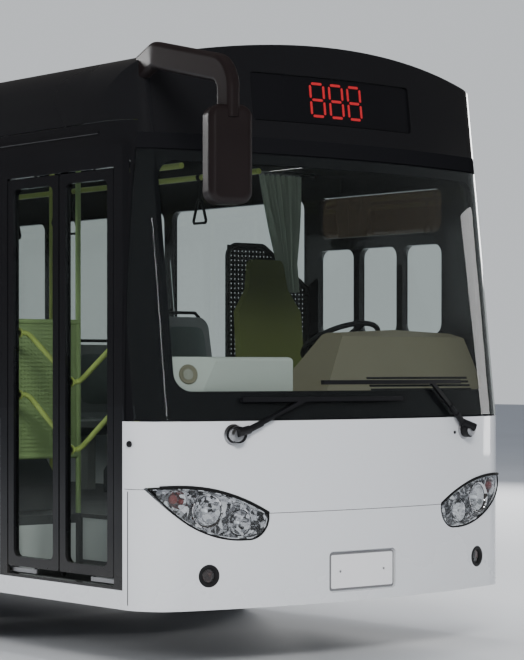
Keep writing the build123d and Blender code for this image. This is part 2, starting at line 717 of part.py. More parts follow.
def console():
    """Instrument hood that rises from the shelf in front of the driver, its end slanted to the aisle."""
    top, foot = DASH_TOP_Z, SHELF_Z - 120
    side_view = make_face(Polyline((FRONT_Y + 300, SHELF_Z - 16), (FRONT_Y + 480, top - 40), (FRONT_Y + 560, top),
                                   (FRONT_Y + 660, top - 30), (FRONT_Y + 700, top - 190), (FRONT_Y + 760, foot + 80),
                                   (FRONT_Y + 700, foot), (FRONT_Y + 500, foot), close=True))
    side_view = fillet(side_view.vertices().sort_by(Axis.Z)[-3:], 18)
    front_view = make_face(Polyline((0, foot), (1185, foot), (1185, top - 45), (1120, top - 18), (720, top),
                                    (290, top - 20), (0, SHELF_Z - 14), close=True))
    hood = extrude(Plane.YZ * side_view, amount=1190)
    ahead = Plane(origin=(0, FRONT_Y + 900, 0), x_dir=(1, 0, 0), z_dir=(0, -1, 0))
    return hood & extrude(ahead * front_view, amount=900) & hull(WALL + 6)


def dash_box():
    """Raised locker on the shelf beside the door, its edges rounded."""
    x0, x1, z0, z1 = DASH_BOX
    locker = box(x0, x1, FRONT_Y + 180, FRONT_Y + 380, z0, z1)
    locker = fillet(locker.faces().sort_by(Axis.Z)[-1].edges(), 22)
    return locker & hull(WALL + 8)


def steer_point(along):
    """Point on the steering axis, measured up from the wheel's middle."""
    lean = math.radians(STEER_TILT)
    middle = (DRIVER_X, FRONT_Y + 985, WHEEL_Z)
    return (middle[0], middle[1] + along * math.sin(lean), middle[2] + along * math.cos(lean))


def steering_wheel():
    """Ring, four spokes and hub, tilted towards the driver."""
    lean = math.radians(STEER_TILT)
    plane = Plane(origin=steer_point(0), x_dir=(1, 0, 0), z_dir=(0, math.sin(lean), math.cos(lean)))
    ring = Torus(WHEEL_RING_R, WHEEL_RING_T)
    hub = Pos(0, 0, -25) * Cylinder(48, 60)
    spokes = Box(2 * WHEEL_RING_R, 34, 16) + Box(34, 2 * WHEEL_RING_R, 16)
    wheel = ring + hub + spokes
    return plane.location * wheel


def seat(x, y, z, width, back):
    """Moulded shell facing the front: pan and leaning backrest in one bend, round at its corners."""
    side_view = make_face(Polyline((y - 220, z + 16), (y - 196, z), (y + 150, z), (y + 232, z + 55),
                                   (y + 289, z + back + 12), (y + 252, z + back + 12), (y + 178, z + 105),
                                   (y + 158, z + 72), (y + 124, z + 58), (y - 185, z + 70), (y - 220, z + 56),
                                   close=True))
    shell = Pos(x, 0, 0) * extrude(Plane.YZ * side_view, amount=width, both=True)
    front_view = Pos(0, z + back / 2 - 3) * RectangleRounded(width, back + 6, 75)
    behind = Plane(origin=(x, y + 300, 0), x_dir=(1, 0, 0), z_dir=(0, -1, 0))
    return shell & extrude(behind * front_view, amount=560)


def driver_seat():
    """Driver's high-backed seat on a box pedestal."""
    low, back = DRIVER_FLOOR_Z + 400, 800
    base = box(DRIVER_X - 170, DRIVER_X + 170, SEAT_Y - 180, SEAT_Y + 150, DRIVER_FLOOR_Z, low + 1)
    taper = make_face(Polyline((-250, -50), (250, -50), (250, 470), (150, 620), (125, back - 4),
                               (-125, back - 4), (-150, 620), (-250, 470), close=True))
    taper = fillet(taper.vertices().sort_by(Axis.Y)[-6:], 40)
    behind = Plane(origin=(DRIVER_X, SEAT_Y + 300, low), x_dir=(1, 0, 0), z_dir=(0, -1, 0))
    return base + (seat(DRIVER_X, SEAT_Y, low, 480, back) & extrude(behind * taper, amount=560))


# Passenger seats: side (-1 door side, 1 far side), first row from the nose, rows, floor height
SEAT_ROWS = [
    (1, 3550, 5, FLOOR_Z),
    (-1, 3550, 2, FLOOR_Z),
    (-1, 6350, 1, FLOOR_Z),
]
SEAT_PITCH = 740
BOX_SEATS = [FRONT_AXLE_Y - 20, REAR_AXLE_Y - 290, REAR_AXLE_Y + 300]
BOX_SEAT_X = 930
BOX_SEAT_Z = BOX_TOP_Z + 310
SEAT_H = 400


def passenger_seats():
    """Rows of double shell seats on posts, and the rear bench on the platform."""
    seats = Part()
    for sign, first, rows, base in SEAT_ROWS:
        for row in range(rows):
            y = FRONT_Y + first + row * SEAT_PITCH
            for x in (sign * 960, sign * 510):
                seats += seat(x, y, base + SEAT_H, 420, 560)
            seats += box(sign * 510, sign * 960, y - 60, y + 60, base + SEAT_H - 40, base + SEAT_H + 1)
            seats += box(sign * 730 - 30, sign * 730 + 30, y - 40, y + 40, base, base + SEAT_H)
    for y in BOX_SEATS:
        for x in (-BOX_SEAT_X, BOX_SEAT_X):
            seats += seat(x, y, BOX_SEAT_Z, 400, 480)
            seats += box(x - 120, x + 120, y - 110, y + 110, BOX_TOP_Z, BOX_SEAT_Z + 1)
    y = REAR_Y - 700
    for place in range(5):
        seats += seat(-900 + 450 * place, y, PLATFORM_Z + SEAT_H, 420, 620)
    seats += box(-1000, 1000, y - 60, y + 60, PLATFORM_Z, PLATFORM_Z + SEAT_H + 1)
    return seats


# Tube frames; green panels beside the doorways: distance along the bus, ends across it, bottom and top
RAIL_R = 15
PANEL_Y = [FRONT_Y + 1600, FRONT_Y + 4790, FRONT_Y + 6078]
PANEL_X = [-SIDE_X + WALL, -690]
PANEL_Z = [1040, 1775]


def partition():
    """Screen behind the driver: tall beside the aisle, its top rail curving down to the side wall."""
    y = FRONT_Y + 1850
    x0, x1 = 300, SIDE_X - WALL
    outline = make_face(Polyline((x0, FLOOR_Z), (x1, FLOOR_Z), (x1, 2010), (1160, 2040), (850, 2262), (575, 2262),
                                 (575, 1500), (x0, 1500), close=True))
    behind = Plane(origin=(0, y + 22, 0), x_dir=(1, 0, 0), z_dir=(0, -1, 0))
    panel = extrude(behind * outline, amount=12)
    mid = y + 16
    rail = [(575, mid, FLOOR_Z + 1), (575, mid, 2262), (850, mid, 2262), (1160, mid, 2040), (x1, mid, 2010)]
    frame = bent_tube(rail, RAIL_R, 70)
    gate = box(x0, x0 + 25, y - 620, y + 11, DRIVER_FLOOR_Z, 1500)
    return (panel + frame + gate) & box(0, x1, y - 700, y + 100, 0, 3000)


def modesty_panels():
    """Green panels beside the step wells, each in a tube frame that stands on the floor."""
    panels = Part()
    for y in PANEL_Y:
        panels += box(PANEL_X[0], PANEL_X[1], y - 6, y + 6, *PANEL_Z)
        for z in PANEL_Z:
            panels += rod((PANEL_X[0], y, z), (PANEL_X[1], y, z), RAIL_R)
        panels += rod((PANEL_X[1], y, FLOOR_Z), (PANEL_X[1], y, 3300), RAIL_R)
    return panels & hull(WALL)


def curtain():
    """Gathered curtain that hangs beside the driver's place, plain and closed."""
    y = FRONT_Y + 1800
    return box(770, 1120, y - 36, y + 36, 1980, 2695)


POLE_X = 275
POLE_R = 17
POLES = [(-1, 1620), (-1, 3300), (1, 3300), (-1, 4800), (-1, 6100), (1, 5900), (-1, 8900), (1, 8900)]


def handrails():
    """Ceiling rails, their brackets and the upright poles."""
    rails = Part()
    top = 2640
    y0, y1 = FRONT_Y + 1200, REAR_Y - 900
    for x in (-POLE_X, POLE_X):
        rails += rod((x, y0, top), (x, y1, top), POLE_R)
    for side_x, y in POLES:
        x = side_x * POLE_X
        rails += rod((x, FRONT_Y + y, FLOOR_Z), (x, FRONT_Y + y, 3300), POLE_R)
    return rails & hull(WALL)


# Outside: mirrors, wipers, roof pod
MIRROR_X = -1255
MIRROR_Y = FRONT_Y - 455
MIRROR_Z = [2285, 2750]
MIRROR_W = 215
MIRROR_D = 110
ARM_W = 66
ARM_H = 132


def mirror_head(x, y, z0, z1, width, depth, turn):
    """Round-ended mirror housing, turned to face the driver."""
    outline = Pos(0, (z0 + z1) / 2) * RectangleRounded(width, z1 - z0, 0.28 * width)
    face = Plane(origin=(0, depth / 2, 0), x_dir=(1, 0, 0), z_dir=(0, -1, 0)) * outline
    shell = extrude(face, amount=depth)
    shell = fillet(shell.faces().sort_by(Axis.Y)[0].edges(), 0.3 * depth)
    return Pos(x, y, 0) * Rot(0, 0, turn) * shell


def mirror_right():
    """Hanging mirror on a broad arm that arches forward from the roof's corner."""
    root = (-1040, FRONT_Y + 640, 2985)
    points = [root, (-1165, FRONT_Y + 230, 3065), (MIRROR_X, MIRROR_Y, 2915), (MIRROR_X, MIRROR_Y, MIRROR_Z[1] - 60)]
    path = FilletPolyline(*points, radius=120)
    ahead = path % 0
    start = Plane(origin=path @ 0, x_dir=ahead.cross(Vector(0, 0, 1)), z_dir=ahead)
    arm = sweep(start * RectangleRounded(ARM_W, ARM_H, 0.4 * ARM_W), path=path)
    head = mirror_head(MIRROR_X, MIRROR_Y, *MIRROR_Z, MIRROR_W, MIRROR_D, -20)
    return (arm - OUTER) + head


def mirror_left():
    """Upright mirror on two short arms behind the left windscreen pillar."""
    x, y = SIDE_X + 86, FRONT_Y + 590
    head = mirror_head(x, y, 1850, 2290, 132, 60, 0)
    for z in (1930, 2210):
        head += rod((SIDE_X - 20, y + 30, z), (x, y + 10, z), 14)
    return head - OUTER


def wipers():
    """Two overlapping wipers: boss on the nose panel, arm, and long blade parked low on the glass."""
    parts = Part()
    for sign, reach_x, low in WIPERS:
        near = hull(-50) & box(sign * (WIPER_X - 300), sign * (WIPER_X + 300), -8000, 0, 0, 4000)
        boss = Pos(sign * WIPER_X, FRONT_Y + 100, WIPER_Z) * Rot(90, 0, 0) * Cylinder(42, 400)
        parts += (near - OUTER) & boss
        blade = (hull(-34) - hull(-6)) & box(-sign * 270, sign * 760, -8000, FRONT_Y + 400, low, low + 22)
        arm_line = Plane(origin=(0, FRONT_Y + 300, 0), x_dir=(1, 0, 0), z_dir=(0, -1, 0))
        arm_face = make_face(Polyline((sign * (WIPER_X + 12), WIPER_Z - 4), (sign * (WIPER_X - 12), WIPER_Z - 4),
                                      (sign * reach_x, low + 6), (sign * (reach_x + 22), low + 18), close=True))
        parts += blade + ((hull(-34) - hull(-16)) & extrude(arm_line * arm_face, amount=500))
    return parts


def roof_unit():
    """Low air-conditioning pod on the rear half of the roof."""
    pod = box(-800, 800, FRONT_Y + 6200, FRONT_Y + 8900, CROWN_Z - 160, CROWN_Z + 170)
    pod = chamfer(pod.faces().sort_by(Axis.Z)[-1].edges(), 60)
    return pod - OUTER


def engine():
    """Engine as one plain block behind the rear axle."""
    return box(-340, 340, REAR_Y - 1300, REAR_Y - 250, 520, PLATFORM_Z - FLOOR_T - 30)

# Doors
ARM_Z = [(440, 462), (2530, 2552)]
ARM_HALF_W = 14
EYE_OUT_R = 19
PIN_R = 8
ROLLER_R = 13
STILE = 52


def doorway_places(y0):
    """Posts, leaf hinges and rollers of one doorway, front leaf first: (post, hinge, roller, hand)."""
    y1 = y0 + DOORWAY_W
    front = (y0 + POST_IN, y0 + POST_IN + ARM, y0 + POST_IN + 2 * ARM, 1)
    rear = (y1 - POST_IN, y1 - POST_IN - ARM, y1 - POST_IN - 2 * ARM, -1)
    return front, rear


def door_frames():
    """Black frames of both doorways: jambs with lips over the posts, sill, and header with roller slot."""
    frames = Part()
    outer_x, inner_x = -SIDE_X, -SIDE_X + WALL
    for y0 in DOORWAYS.values():
        y1 = y0 + DOORWAY_W
        z0, z1 = DOORWAY_Z
        frame = box(outer_x, inner_x, y0, y0 + JAMB_W, z0, z1) + box(outer_x, inner_x, y1 - JAMB_W, y1, z0, z1)
        frame += box(outer_x, outer_x + 18, y0, y0 + POST_IN + 24, z0, z1)
        frame += box(outer_x, outer_x + 18, y1 - POST_IN - 24, y1, z0, z1)
        frame += box(outer_x, inner_x, y0, y1, z0, STEP_Z)
        frame += box(outer_x, outer_x + 100, y0, y1, HEADER_BEAM_Z, z1)
        frame += box(outer_x, outer_x + 14, y0, y1, LEAF_Z[1] + 8, HEADER_BEAM_Z)
        slot_half = ROLLER_R + 2
        frame -= box(TRACK_X - slot_half, TRACK_X + slot_half, y0 + POST_IN + 35, y1 - POST_IN - 35,
                     HEADER_BEAM_Z - 1, HEADER_BEAM_Z + 30)
        for y in (y0 + POST_IN, y1 - POST_IN):
            frame -= Pos(TRACK_X, y, HEADER_BEAM_Z) * Cylinder(POST_R + 0.5, 30)
        frames += frame
    return frames


def door_arm(post_y, hinge_y):
    """Upright post with an arm under and an arm over the leaf."""
    low, high = STEP_Z + 3, HEADER_BEAM_Z + 12
    arm = Pos(TRACK_X, post_y, (low + high) / 2) * Cylinder(POST_R, high - low)
    for z0, z1 in ARM_Z:
        arm += box(TRACK_X - ARM_HALF_W, TRACK_X + ARM_HALF_W, post_y, hinge_y, z0, z1)
        arm += Pos(TRACK_X, hinge_y, (z0 + z1) / 2) * Cylinder(EYE_OUT_R, z1 - z0)
    for z0, z1 in ARM_Z:
        arm -= Pos(TRACK_X, hinge_y, (z0 + z1) / 2) * Cylinder(PIN_R + 0.4, 40)
    return arm


def leaf_outline(post_y, hand, inset):
    """Rectangle of one leaf seen from the side, with its edges moved in by the given stile width."""
    near = post_y + hand * (LEAF_IN - POST_IN)
    far = near + hand * LEAF_W
    y0, y1 = min(near, far), max(near, far)
    z0, z1 = LEAF_Z
    return side_opening("right", y0 + inset, y1 - inset, z0 + inset, z1 - inset, 12 + inset * 0.5)


def door_leaf(post_y, hinge_y, roller_y, hand):
    """Glazed leaf frame with its hinge pins and the roller that runs in the header."""
    outer_x = -SIDE_X + 2
    sheet = box(outer_x, outer_x + LEAF_T, -8000, 8000, 0, 4000)
    leaf = (leaf_outline(post_y, hand, 0) - leaf_outline(post_y, hand, STILE)) & sheet
    for (z0, z1), edge, end in zip(ARM_Z, LEAF_Z, (1, -1)):
        leaf += box(TRACK_X - 10, TRACK_X + 20, hinge_y - 18, hinge_y + 18, edge, edge + end * 40)
        tip = z0 - 4 if end > 0 else z1 + 4
        leaf += rod((TRACK_X, hinge_y, edge + end * 20), (TRACK_X, hinge_y, tip), PIN_R)
    leaf += box(TRACK_X - 10, TRACK_X + 14, roller_y - 14, roller_y + 14, LEAF_Z[1] - 30, LEAF_Z[1])
    leaf += rod((TRACK_X, roller_y, LEAF_Z[1] - 10), (TRACK_X, roller_y, HEADER_BEAM_Z + 20), PIN_R)
    leaf += rod((TRACK_X, roller_y, HEADER_BEAM_Z + 6), (TRACK_X, roller_y, HEADER_BEAM_Z + 24), ROLLER_R)
    return leaf


def leaf_glass(post_y, hand):
    """Full-height pane of one leaf."""
    middle_x = -SIDE_X + 2 + LEAF_T / 2
    sheet = box(middle_x - 3, middle_x + 3, -8000, 8000, 0, 4000)
    return leaf_outline(post_y, hand, STILE) & sheet


# Every node and the piece that it holds
NODES = {
    "underframe": underframe(),
    "floor": floor(),
    "roof": roof(),
    "skirt_left": skirt("left"),
    "skirt_right": skirt("right"),
    "window_band_left": window_band("left"),
    "window_band_right": window_band("right"),
    "side_glass": side_glass("left") + side_glass("right"),
    "rear_wall": rear_wall(),
    "rear_glass": rear_glass(),
    "rear_lamps": rear_lamps(),
    "rear_bumper": rear_bumper(),
    "front_frame": front_frame(),
    "windscreen": windscreen(),
    "display": display(),
    "nose_panel": nose_panel(),
    "front_bumper": front_bumper(),
    "headlamps": headlamps(),
    "lamp_lenses": lamp_lenses(),
    "door_frames": door_frames(),
    "dashboard": dashboard(),
    "driver_seat": driver_seat(),
    "passenger_seats": passenger_seats(),
    "handrails": handrails(),
    "partition": partition(),
    "curtain": curtain(),
    "mirror_right": mirror_right(),
    "mirror_left": mirror_left(),
    "wipers": wipers(),
    "modesty_panels": modesty_panels(),
    "dash_box": dash_box(),
    "roof_unit": roof_unit(),
    "engine": engine(),
    "front_axle": front_axle(),
    "rear_axle": rear_axle(),
    "engine_lid": engine_lid(),
    "roof_hatch": roof_hatch(),
    "steering_wheel": steering_wheel(),
}
for side, sign in SIDE_SIGN.items():
    NODES[f"knuckle_{side}"] = knuckle(sign)
    NODES[f"tyre_front_{side}"] = tyre(sign * FRONT_WHEEL_X, FRONT_AXLE_Y)
    NODES[f"rim_front_{side}"] = rim_front(sign)
    NODES[f"tyres_rear_{side}"] = tyre(sign * TWIN_X[0], REAR_AXLE_Y) + tyre(sign * TWIN_X[1], REAR_AXLE_Y)
    NODES[f"rims_rear_{side}"] = rims_rear(sign)
for doorway, y0 in DOORWAYS.items():
    for letter, (post_y, hinge_y, roller_y, hand) in zip("ab", doorway_places(y0)):
        NODES[f"door_{doorway}_arm_{letter}"] = door_arm(post_y, hinge_y)
        NODES[f"door_{doorway}_leaf_{letter}"] = door_leaf(post_y, hinge_y, roller_y, hand)
        NODES[f"door_{doorway}_glass_{letter}"] = leaf_glass(post_y, hand)

os.makedirs("parts", exist_ok=True)
for node, shape in NODES.items():
    export_step(shape, f"parts/{node}.step")
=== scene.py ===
# %% [markdown]
# # A city bus, dressed part by part
# The model of this bus comes as named solids at their real size: panels, glass, doors, wheels and seats.
# This lesson gives each of them its finish and adds the small things that make a bus look real, such as
# tyre tread, lamp bowls, seat pads and a gathered curtain. We start by loading the solids.

# %% Load the solids
import bpy
import bmesh
from math import cos, degrees, pi, radians, sin, sqrt
from mathutils import Euler, Matrix, Vector


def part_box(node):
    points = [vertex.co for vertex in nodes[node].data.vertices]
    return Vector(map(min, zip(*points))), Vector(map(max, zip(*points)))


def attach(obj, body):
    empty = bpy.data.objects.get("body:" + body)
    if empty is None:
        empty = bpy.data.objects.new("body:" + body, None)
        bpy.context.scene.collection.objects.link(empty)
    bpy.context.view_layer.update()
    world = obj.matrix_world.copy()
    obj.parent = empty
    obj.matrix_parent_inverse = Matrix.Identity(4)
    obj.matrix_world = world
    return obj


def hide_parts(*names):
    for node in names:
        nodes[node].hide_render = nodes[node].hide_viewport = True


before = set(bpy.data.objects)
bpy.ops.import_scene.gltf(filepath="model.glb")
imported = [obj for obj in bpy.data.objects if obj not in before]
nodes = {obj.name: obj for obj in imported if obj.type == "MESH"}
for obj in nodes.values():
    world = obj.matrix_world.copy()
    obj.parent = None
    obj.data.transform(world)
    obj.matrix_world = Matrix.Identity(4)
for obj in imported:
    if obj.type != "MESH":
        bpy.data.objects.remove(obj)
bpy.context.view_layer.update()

# %% [markdown]
# The camera stands where the photographer stood: in front of the bus's door-side corner, almost eleven metres
# away, with the lens at eye level. A long lens keeps the lines of each side nearly parallel. It looks almost
# level and the picture is shifted up a little, so that upright edges stay upright.

# %% Camera
CAMERA_AT = Vector((-7.70, -13.586, 1.52))
CAMERA_TURN = radians(39.2)
CAMERA_TILT = radians(-0.42)
LENS_MM = 121.4
SHIFT_UP = 0.083

camera_data = bpy.data.cameras.new("photo_camera")
camera_data.lens = LENS_MM
camera_data.shift_y = SHIFT_UP
camera = bpy.data.objects.new("photo_camera", camera_data)
camera.location = CAMERA_AT
camera.rotation_euler = Euler((pi / 2 + CAMERA_TILT, 0, -CAMERA_TURN))
bpy.context.scene.collection.objects.link(camera)
bpy.context.scene.camera = camera
print("camera looks", round(degrees(CAMERA_TURN), 1), "degrees to the right of straight ahead")

# %% [markdown]
# The room, the effects and the finishes are all trees of shader nodes. Each node could be made, set and linked
# in lines of its own, but that soon hides what a tree does. Three small functions keep a tree as short as a
# formula: one fills a node's inputs with values or links, one adds a node, and one adds a sum.

# %% Node helpers
def feed(tree, node, inputs):
    """Fill a node's inputs with plain values, or link them to other nodes' outputs."""
    for entry, value in inputs.items():
        if isinstance(value, bpy.types.NodeSocket):
            tree.links.new(value, node.inputs[entry])
        else:
            node.inputs[entry].default_value = value


def add_node(tree, kind, inputs=None, **choices):
    """New shader node with its own choices, such as an operation, and its inputs filled."""
    node = tree.nodes.new("ShaderNode" + kind)
    for name, value in choices.items():
        setattr(node, name, value)
    feed(tree, node, inputs or {})
    return node


def calc(tree, operation, *values):
    """Output of a Math node."""
    return add_node(tree, "Math", dict(enumerate(values)), operation=operation).outputs[0]


print("node helpers ready")

# %% [markdown]
# Black paint and glass show what stands around them more than they show their own colour. So the room that
# they mirror is dim, while the wall that the camera sees behind the bus is pale, and the world's shader tells
# the two apart by the kind of ray.

# %% The room
world = bpy.data.worlds.new("studio_room")
world.use_nodes = True
room = world.node_tree
seen = room.nodes["Background"]
feed(room, seen, {"Color": (0.74, 0.77, 0.80, 1), "Strength": 0.9})
felt = add_node(room, "Background", {"Color": (0.80, 0.87, 1.0, 1), "Strength": 0.5})
reflected = add_node(room, "Background", {"Color": (1.0, 0.96, 0.92, 1), "Strength": 0.07})
ray = add_node(room, "LightPath").outputs
direct = calc(room, "MAXIMUM", ray["Is Camera Ray"], ray["Is Transmission Ray"])
by_gloss = add_node(room, "MixShader", {"Fac": ray["Is Glossy Ray"], 1: felt.outputs[0], 2: reflected.outputs[0]})
by_eye = add_node(room, "MixShader", {"Fac": direct, 1: by_gloss.outputs[0], 2: seen.outputs[0]})
feed(room, room.nodes["World Output"], {"Surface": by_eye.outputs[0]})
bpy.context.scene.world = world
print("room nodes:", len(room.nodes))

# %% [markdown]
# Large soft lights model the body as a photographer's would. Half of them stay out of all reflections, so
# that the black paint stays black. A tall strip light beside the driver's corner draws the long bright line
# that the photograph shows there. The floor is one wide plane.

# %% Lights and floor
def area_light(name, place, target, width, height, power, mirrored=True):
    """Rectangular soft light at one place, aimed at another, and whether gloss mirrors it."""
    data = bpy.data.lights.new(name, "AREA")
    data.shape = "RECTANGLE"
    data.size = width
    data.size_y = height
    data.energy = power
    light = bpy.data.objects.new(name, data)
    light.location = place
    aim = Vector(target) - Vector(place)
    light.rotation_euler = aim.to_track_quat("-Z", "Y").to_euler()
    light.visible_camera = False
    light.visible_transmission = False
    light.visible_glossy = mirrored
    bpy.context.scene.collection.objects.link(light)
    return light


area_light("front_softbox", (-9.0, -17.0, 9.0), (0, -5, 1.0), 6.0, 3.0, 2600, mirrored=False)
area_light("mirror_strip", (-6.5, -14.0, 4.2), (-1.0, -5.0, 2.4), 0.5, 2.2, 60)
area_light("roof_softbox", (0, 2.0, 10.0), (0, 2, 0), 5.0, 14.0, 1000, mirrored=False)
area_light("driver_side_softbox", (13.0, 6.0, 5.0), (0, 2, 1.5), 10.0, 4.0, 1300)
area_light("corner_strip", (12.0, -7.6, 2.6), (1.2, -4.9, 1.8), 0.9, 4.0, 100)
area_light("door_corner_strip", (-0.3, -16.5, 5.0), (-1.0, -4.9, 2.0), 0.8, 6.0, 30, mirrored=False)
area_light("door_side_softbox", (-13.0, 5.0, 6.0), (0, 1, 1.5), 9.0, 3.0, 1000, mirrored=False)
area_light("rear_softbox", (1.0, 17.0, 6.0), (0, 5, 1.5), 7.0, 4.0, 900)

floor_mesh = bpy.data.meshes.new("studio_floor")
shape = bmesh.new()
bmesh.ops.create_grid(shape, x_segments=1, y_segments=1, size=60)
shape.to_mesh(floor_mesh)
shape.free()
studio_floor = bpy.data.objects.new("studio_floor", floor_mesh)
bpy.context.scene.collection.objects.link(studio_floor)

# %% [markdown]
# A finish is seldom one flat colour. Four effects come back on the materials of a bus, so each is a node
# group with named sockets. The first two are a slow drift of colour and gloss, and a fine grain that catches
# the light. Each puts out only a mask or a normal, and the Principled shader stays in the material itself.

# %% Drift and grain
def new_group(name, inputs, output):
    """Empty node group with number inputs and one output, and its Object coordinates."""
    group = bpy.data.node_groups.new(name, "ShaderNodeTree")
    for label, value in inputs.items():
        group.interface.new_socket(label, in_out="INPUT", socket_type="NodeSocketFloat").default_value = value
    kind = "NodeSocketVector" if output == "Normal" else "NodeSocketFloat"
    group.interface.new_socket(output, in_out="OUTPUT", socket_type=kind)
    start = group.nodes.new("NodeGroupInput").outputs
    end = group.nodes.new("NodeGroupOutput")
    return group, start, end, add_node(group, "TexCoord").outputs["Object"]


# slow patches, 0 to 1
DRIFT, start, end, place = new_group("slow_drift", {"Scale": 2.0, "Detail": 3.0}, "Mask")
noise = add_node(DRIFT, "TexNoise", {"Vector": place, "Scale": start["Scale"], "Detail": start["Detail"]})
feed(DRIFT, end, {"Mask": noise.outputs["Fac"]})

# fine moulded grain as a bumped normal
GRAIN, start, end, place = new_group("fine_grain", {"Scale": 900.0, "Strength": 0.2, "Distance": 0.0005}, "Normal")
noise = add_node(GRAIN, "TexNoise", {"Vector": place, "Scale": start["Scale"]})
bump = add_node(GRAIN, "Bump", {"Height": noise.outputs["Fac"], "Strength": start["Strength"],
                                "Distance": start["Distance"]})
feed(GRAIN, end, {"Normal": bump.outputs["Normal"]})

print("effects:", DRIFT.name, GRAIN.name)

# %% [markdown]
# The other two effects need a little arithmetic. Road dust thickens towards the ground, and noise breaks it
# up. A pressed lamp reflector is a field of small mirrors, so each cell of a Voronoi pattern leans the normal
# its own way.

# %% Dust and facets
def calc_vector(tree, operation, *values, **named):
    """Output of a Vector Math node."""
    result = add_node(tree, "VectorMath", {**dict(enumerate(values)), **named}, operation=operation).outputs
    return result["Value" if operation == "LENGTH" else "Vector"]


HALF = (0.5, 0.5, 0.5)

# road dust, 0 to 1: strong near the road, gone above a given height, broken up by noise
DUST, start, end, place = new_group("road_dust", {"Top": 0.8, "Amount": 0.5}, "Mask")
height = add_node(DUST, "SeparateXYZ", {"Vector": place}).outputs["Z"]
fall = add_node(DUST, "MapRange", {"Value": height, "From Min": start["Top"], "From Max": 0.1})
noise = add_node(DUST, "TexNoise", {"Vector": place, "Scale": 7.0, "Detail": 6.0})
spread = calc(DUST, "MULTIPLY", fall.outputs["Result"], noise.outputs["Fac"])
feed(DUST, end, {"Mask": calc(DUST, "MULTIPLY", spread, start["Amount"])})

# pressed facets: the normal of every small cell leans its own way
FACETS, start, end, place = new_group("pressed_facets", {"Scale": 60.0, "Lean": 0.5}, "Normal")
cells = add_node(FACETS, "TexVoronoi", {"Vector": place, "Scale": start["Scale"]}).outputs["Color"]
lean = calc_vector(FACETS, "SCALE", calc_vector(FACETS, "SUBTRACT", cells, HALF), Scale=start["Lean"])
total = calc_vector(FACETS, "ADD", lean, add_node(FACETS, "NewGeometry").outputs["Normal"])
feed(FACETS, end, {"Normal": calc_vector(FACETS, "NORMALIZE", total)})
print("effects:", DUST.name, FACETS.name)

# %% [markdown]
# Most finishes on the bus follow one recipe: a base colour that drifts slightly, a roughness that drifts
# with it, fine grain in the surface, and dust near the road. One helper builds that recipe, and each
# finish below is a call with its own numbers. Paint also gets a clear coat.

# %% The finish recipe
def new_material(name, values):
    """Material, its tree and its Principled shader with plain values."""
    material = bpy.data.materials.new(name)
    material.use_nodes = True
    shader = material.node_tree.nodes["Principled BSDF"]
    feed(material.node_tree, shader, values)
    return material, material.node_tree, shader


def effect(tree, group, **values):
    """Output of a shared effect with its own values."""
    return add_node(tree, "Group", values, node_tree=group).outputs[0]


def blend(tree, first, second, share):
    """Colour between two colours."""
    return add_node(tree, "Mix", {"A": first, "B": second, "Factor": share}, data_type="RGBA").outputs["Result"]


def drifting(tree, scale, first, second):
    """Colour that drifts slowly between two, and the drift itself."""
    mask = effect(tree, DRIFT, Scale=scale)
    return blend(tree, (*first, 1), (*second, 1), mask), mask


def finish(name, color, rough, metallic=0.0, coat=0.0, drift=(0.06, 1.5), grain=None, dust=None,
           dust_color=(0.42, 0.39, 0.34), shine=0.5):
    """Opaque material: drift has its share and scale, grain its strength and scale, dust its amount and top."""
    material, tree, shader = new_material(name, {"Metallic": metallic, "Coat Weight": coat, "Coat Roughness": 0.03,
                                                 "Specular IOR Level": shine})
    share, scale = drift
    low, high = [c * (1 - share) for c in color], [min(1.0, c * (1 + share)) for c in color]
    tone, mask = drifting(tree, scale, low, high)
    limits = {"To Min": rough * 0.8, "To Max": min(1.0, rough * 1.25)}
    gloss = add_node(tree, "MapRange", {"Value": mask, **limits}).outputs["Result"]
    if dust:
        dirt = effect(tree, DUST, Top=dust[1], Amount=dust[0])
        tone = blend(tree, tone, (*dust_color, 1), dirt)
        gloss = add_node(tree, "Mix", {"A": gloss, "B": 0.8, "Factor": dirt}).outputs["Result"]
    feed(tree, shader, {"Base Color": tone, "Roughness": gloss})
    if grain:
        feed(tree, shader, {"Normal": effect(tree, GRAIN, Scale=grain[1], Strength=grain[0])})
    return material


def opened(material):
    """Tree, shader, coordinates, their three axes and base colour of a finish, to add more to it."""
    tree = material.node_tree
    shader = tree.nodes["Principled BSDF"]
    coords = add_node(tree, "TexCoord").outputs
    axes = add_node(tree, "SeparateXYZ", {"Vector": coords["Object"]}).outputs
    return tree, shader, coords, axes, shader.inputs["Base Color"].links[0].from_socket


print("finish recipe ready")

# %% [markdown]
# Now the finishes themselves. The lower body is white gloss paint, the window bands and the front header are
# black gloss, and everything below the floor is dull chassis paint. The white gets a strong clear coat. The
# black mirrors its surroundings at any strength, so its coat and its shine stay low and it stays deep.

# %% Body finishes
white_paint = finish("white_paint", (0.70, 0.708, 0.72), 0.24, coat=0.8, drift=(0.012, 0.8), dust=(0.16, 0.75))
black_paint = finish("black_gloss_paint", (0.007, 0.007, 0.008), 0.13, coat=0.3, drift=(0.2, 0.9),
                     dust=(0.05, 0.9), shine=0.25)
# Near-black plastic shell; the slight red-brown in its colour is a painted reflection of the brown surroundings.
mirror_shell_painted_reflection = finish("mirror_shell_plastic", (0.010, 0.007, 0.007), 0.38, drift=(0.2, 4.0), shine=0.2)
black_trim = finish("black_trim_plastic", (0.009, 0.009, 0.010), 0.45, drift=(0.2, 5.0), grain=(0.25, 1400.0),
                    dust=(0.06, 0.7), shine=0.2)
door_paint = finish("black_door_paint", (0.007, 0.007, 0.008), 0.2, coat=0.12, drift=(0.2, 2.0), dust=(0.12, 0.7),
                    shine=0.2)
chassis_paint = finish("chassis_paint", (0.03, 0.03, 0.031), 0.65, drift=(0.25, 6.0), grain=(0.2, 260.0),
                       dust=(0.6, 1.1))
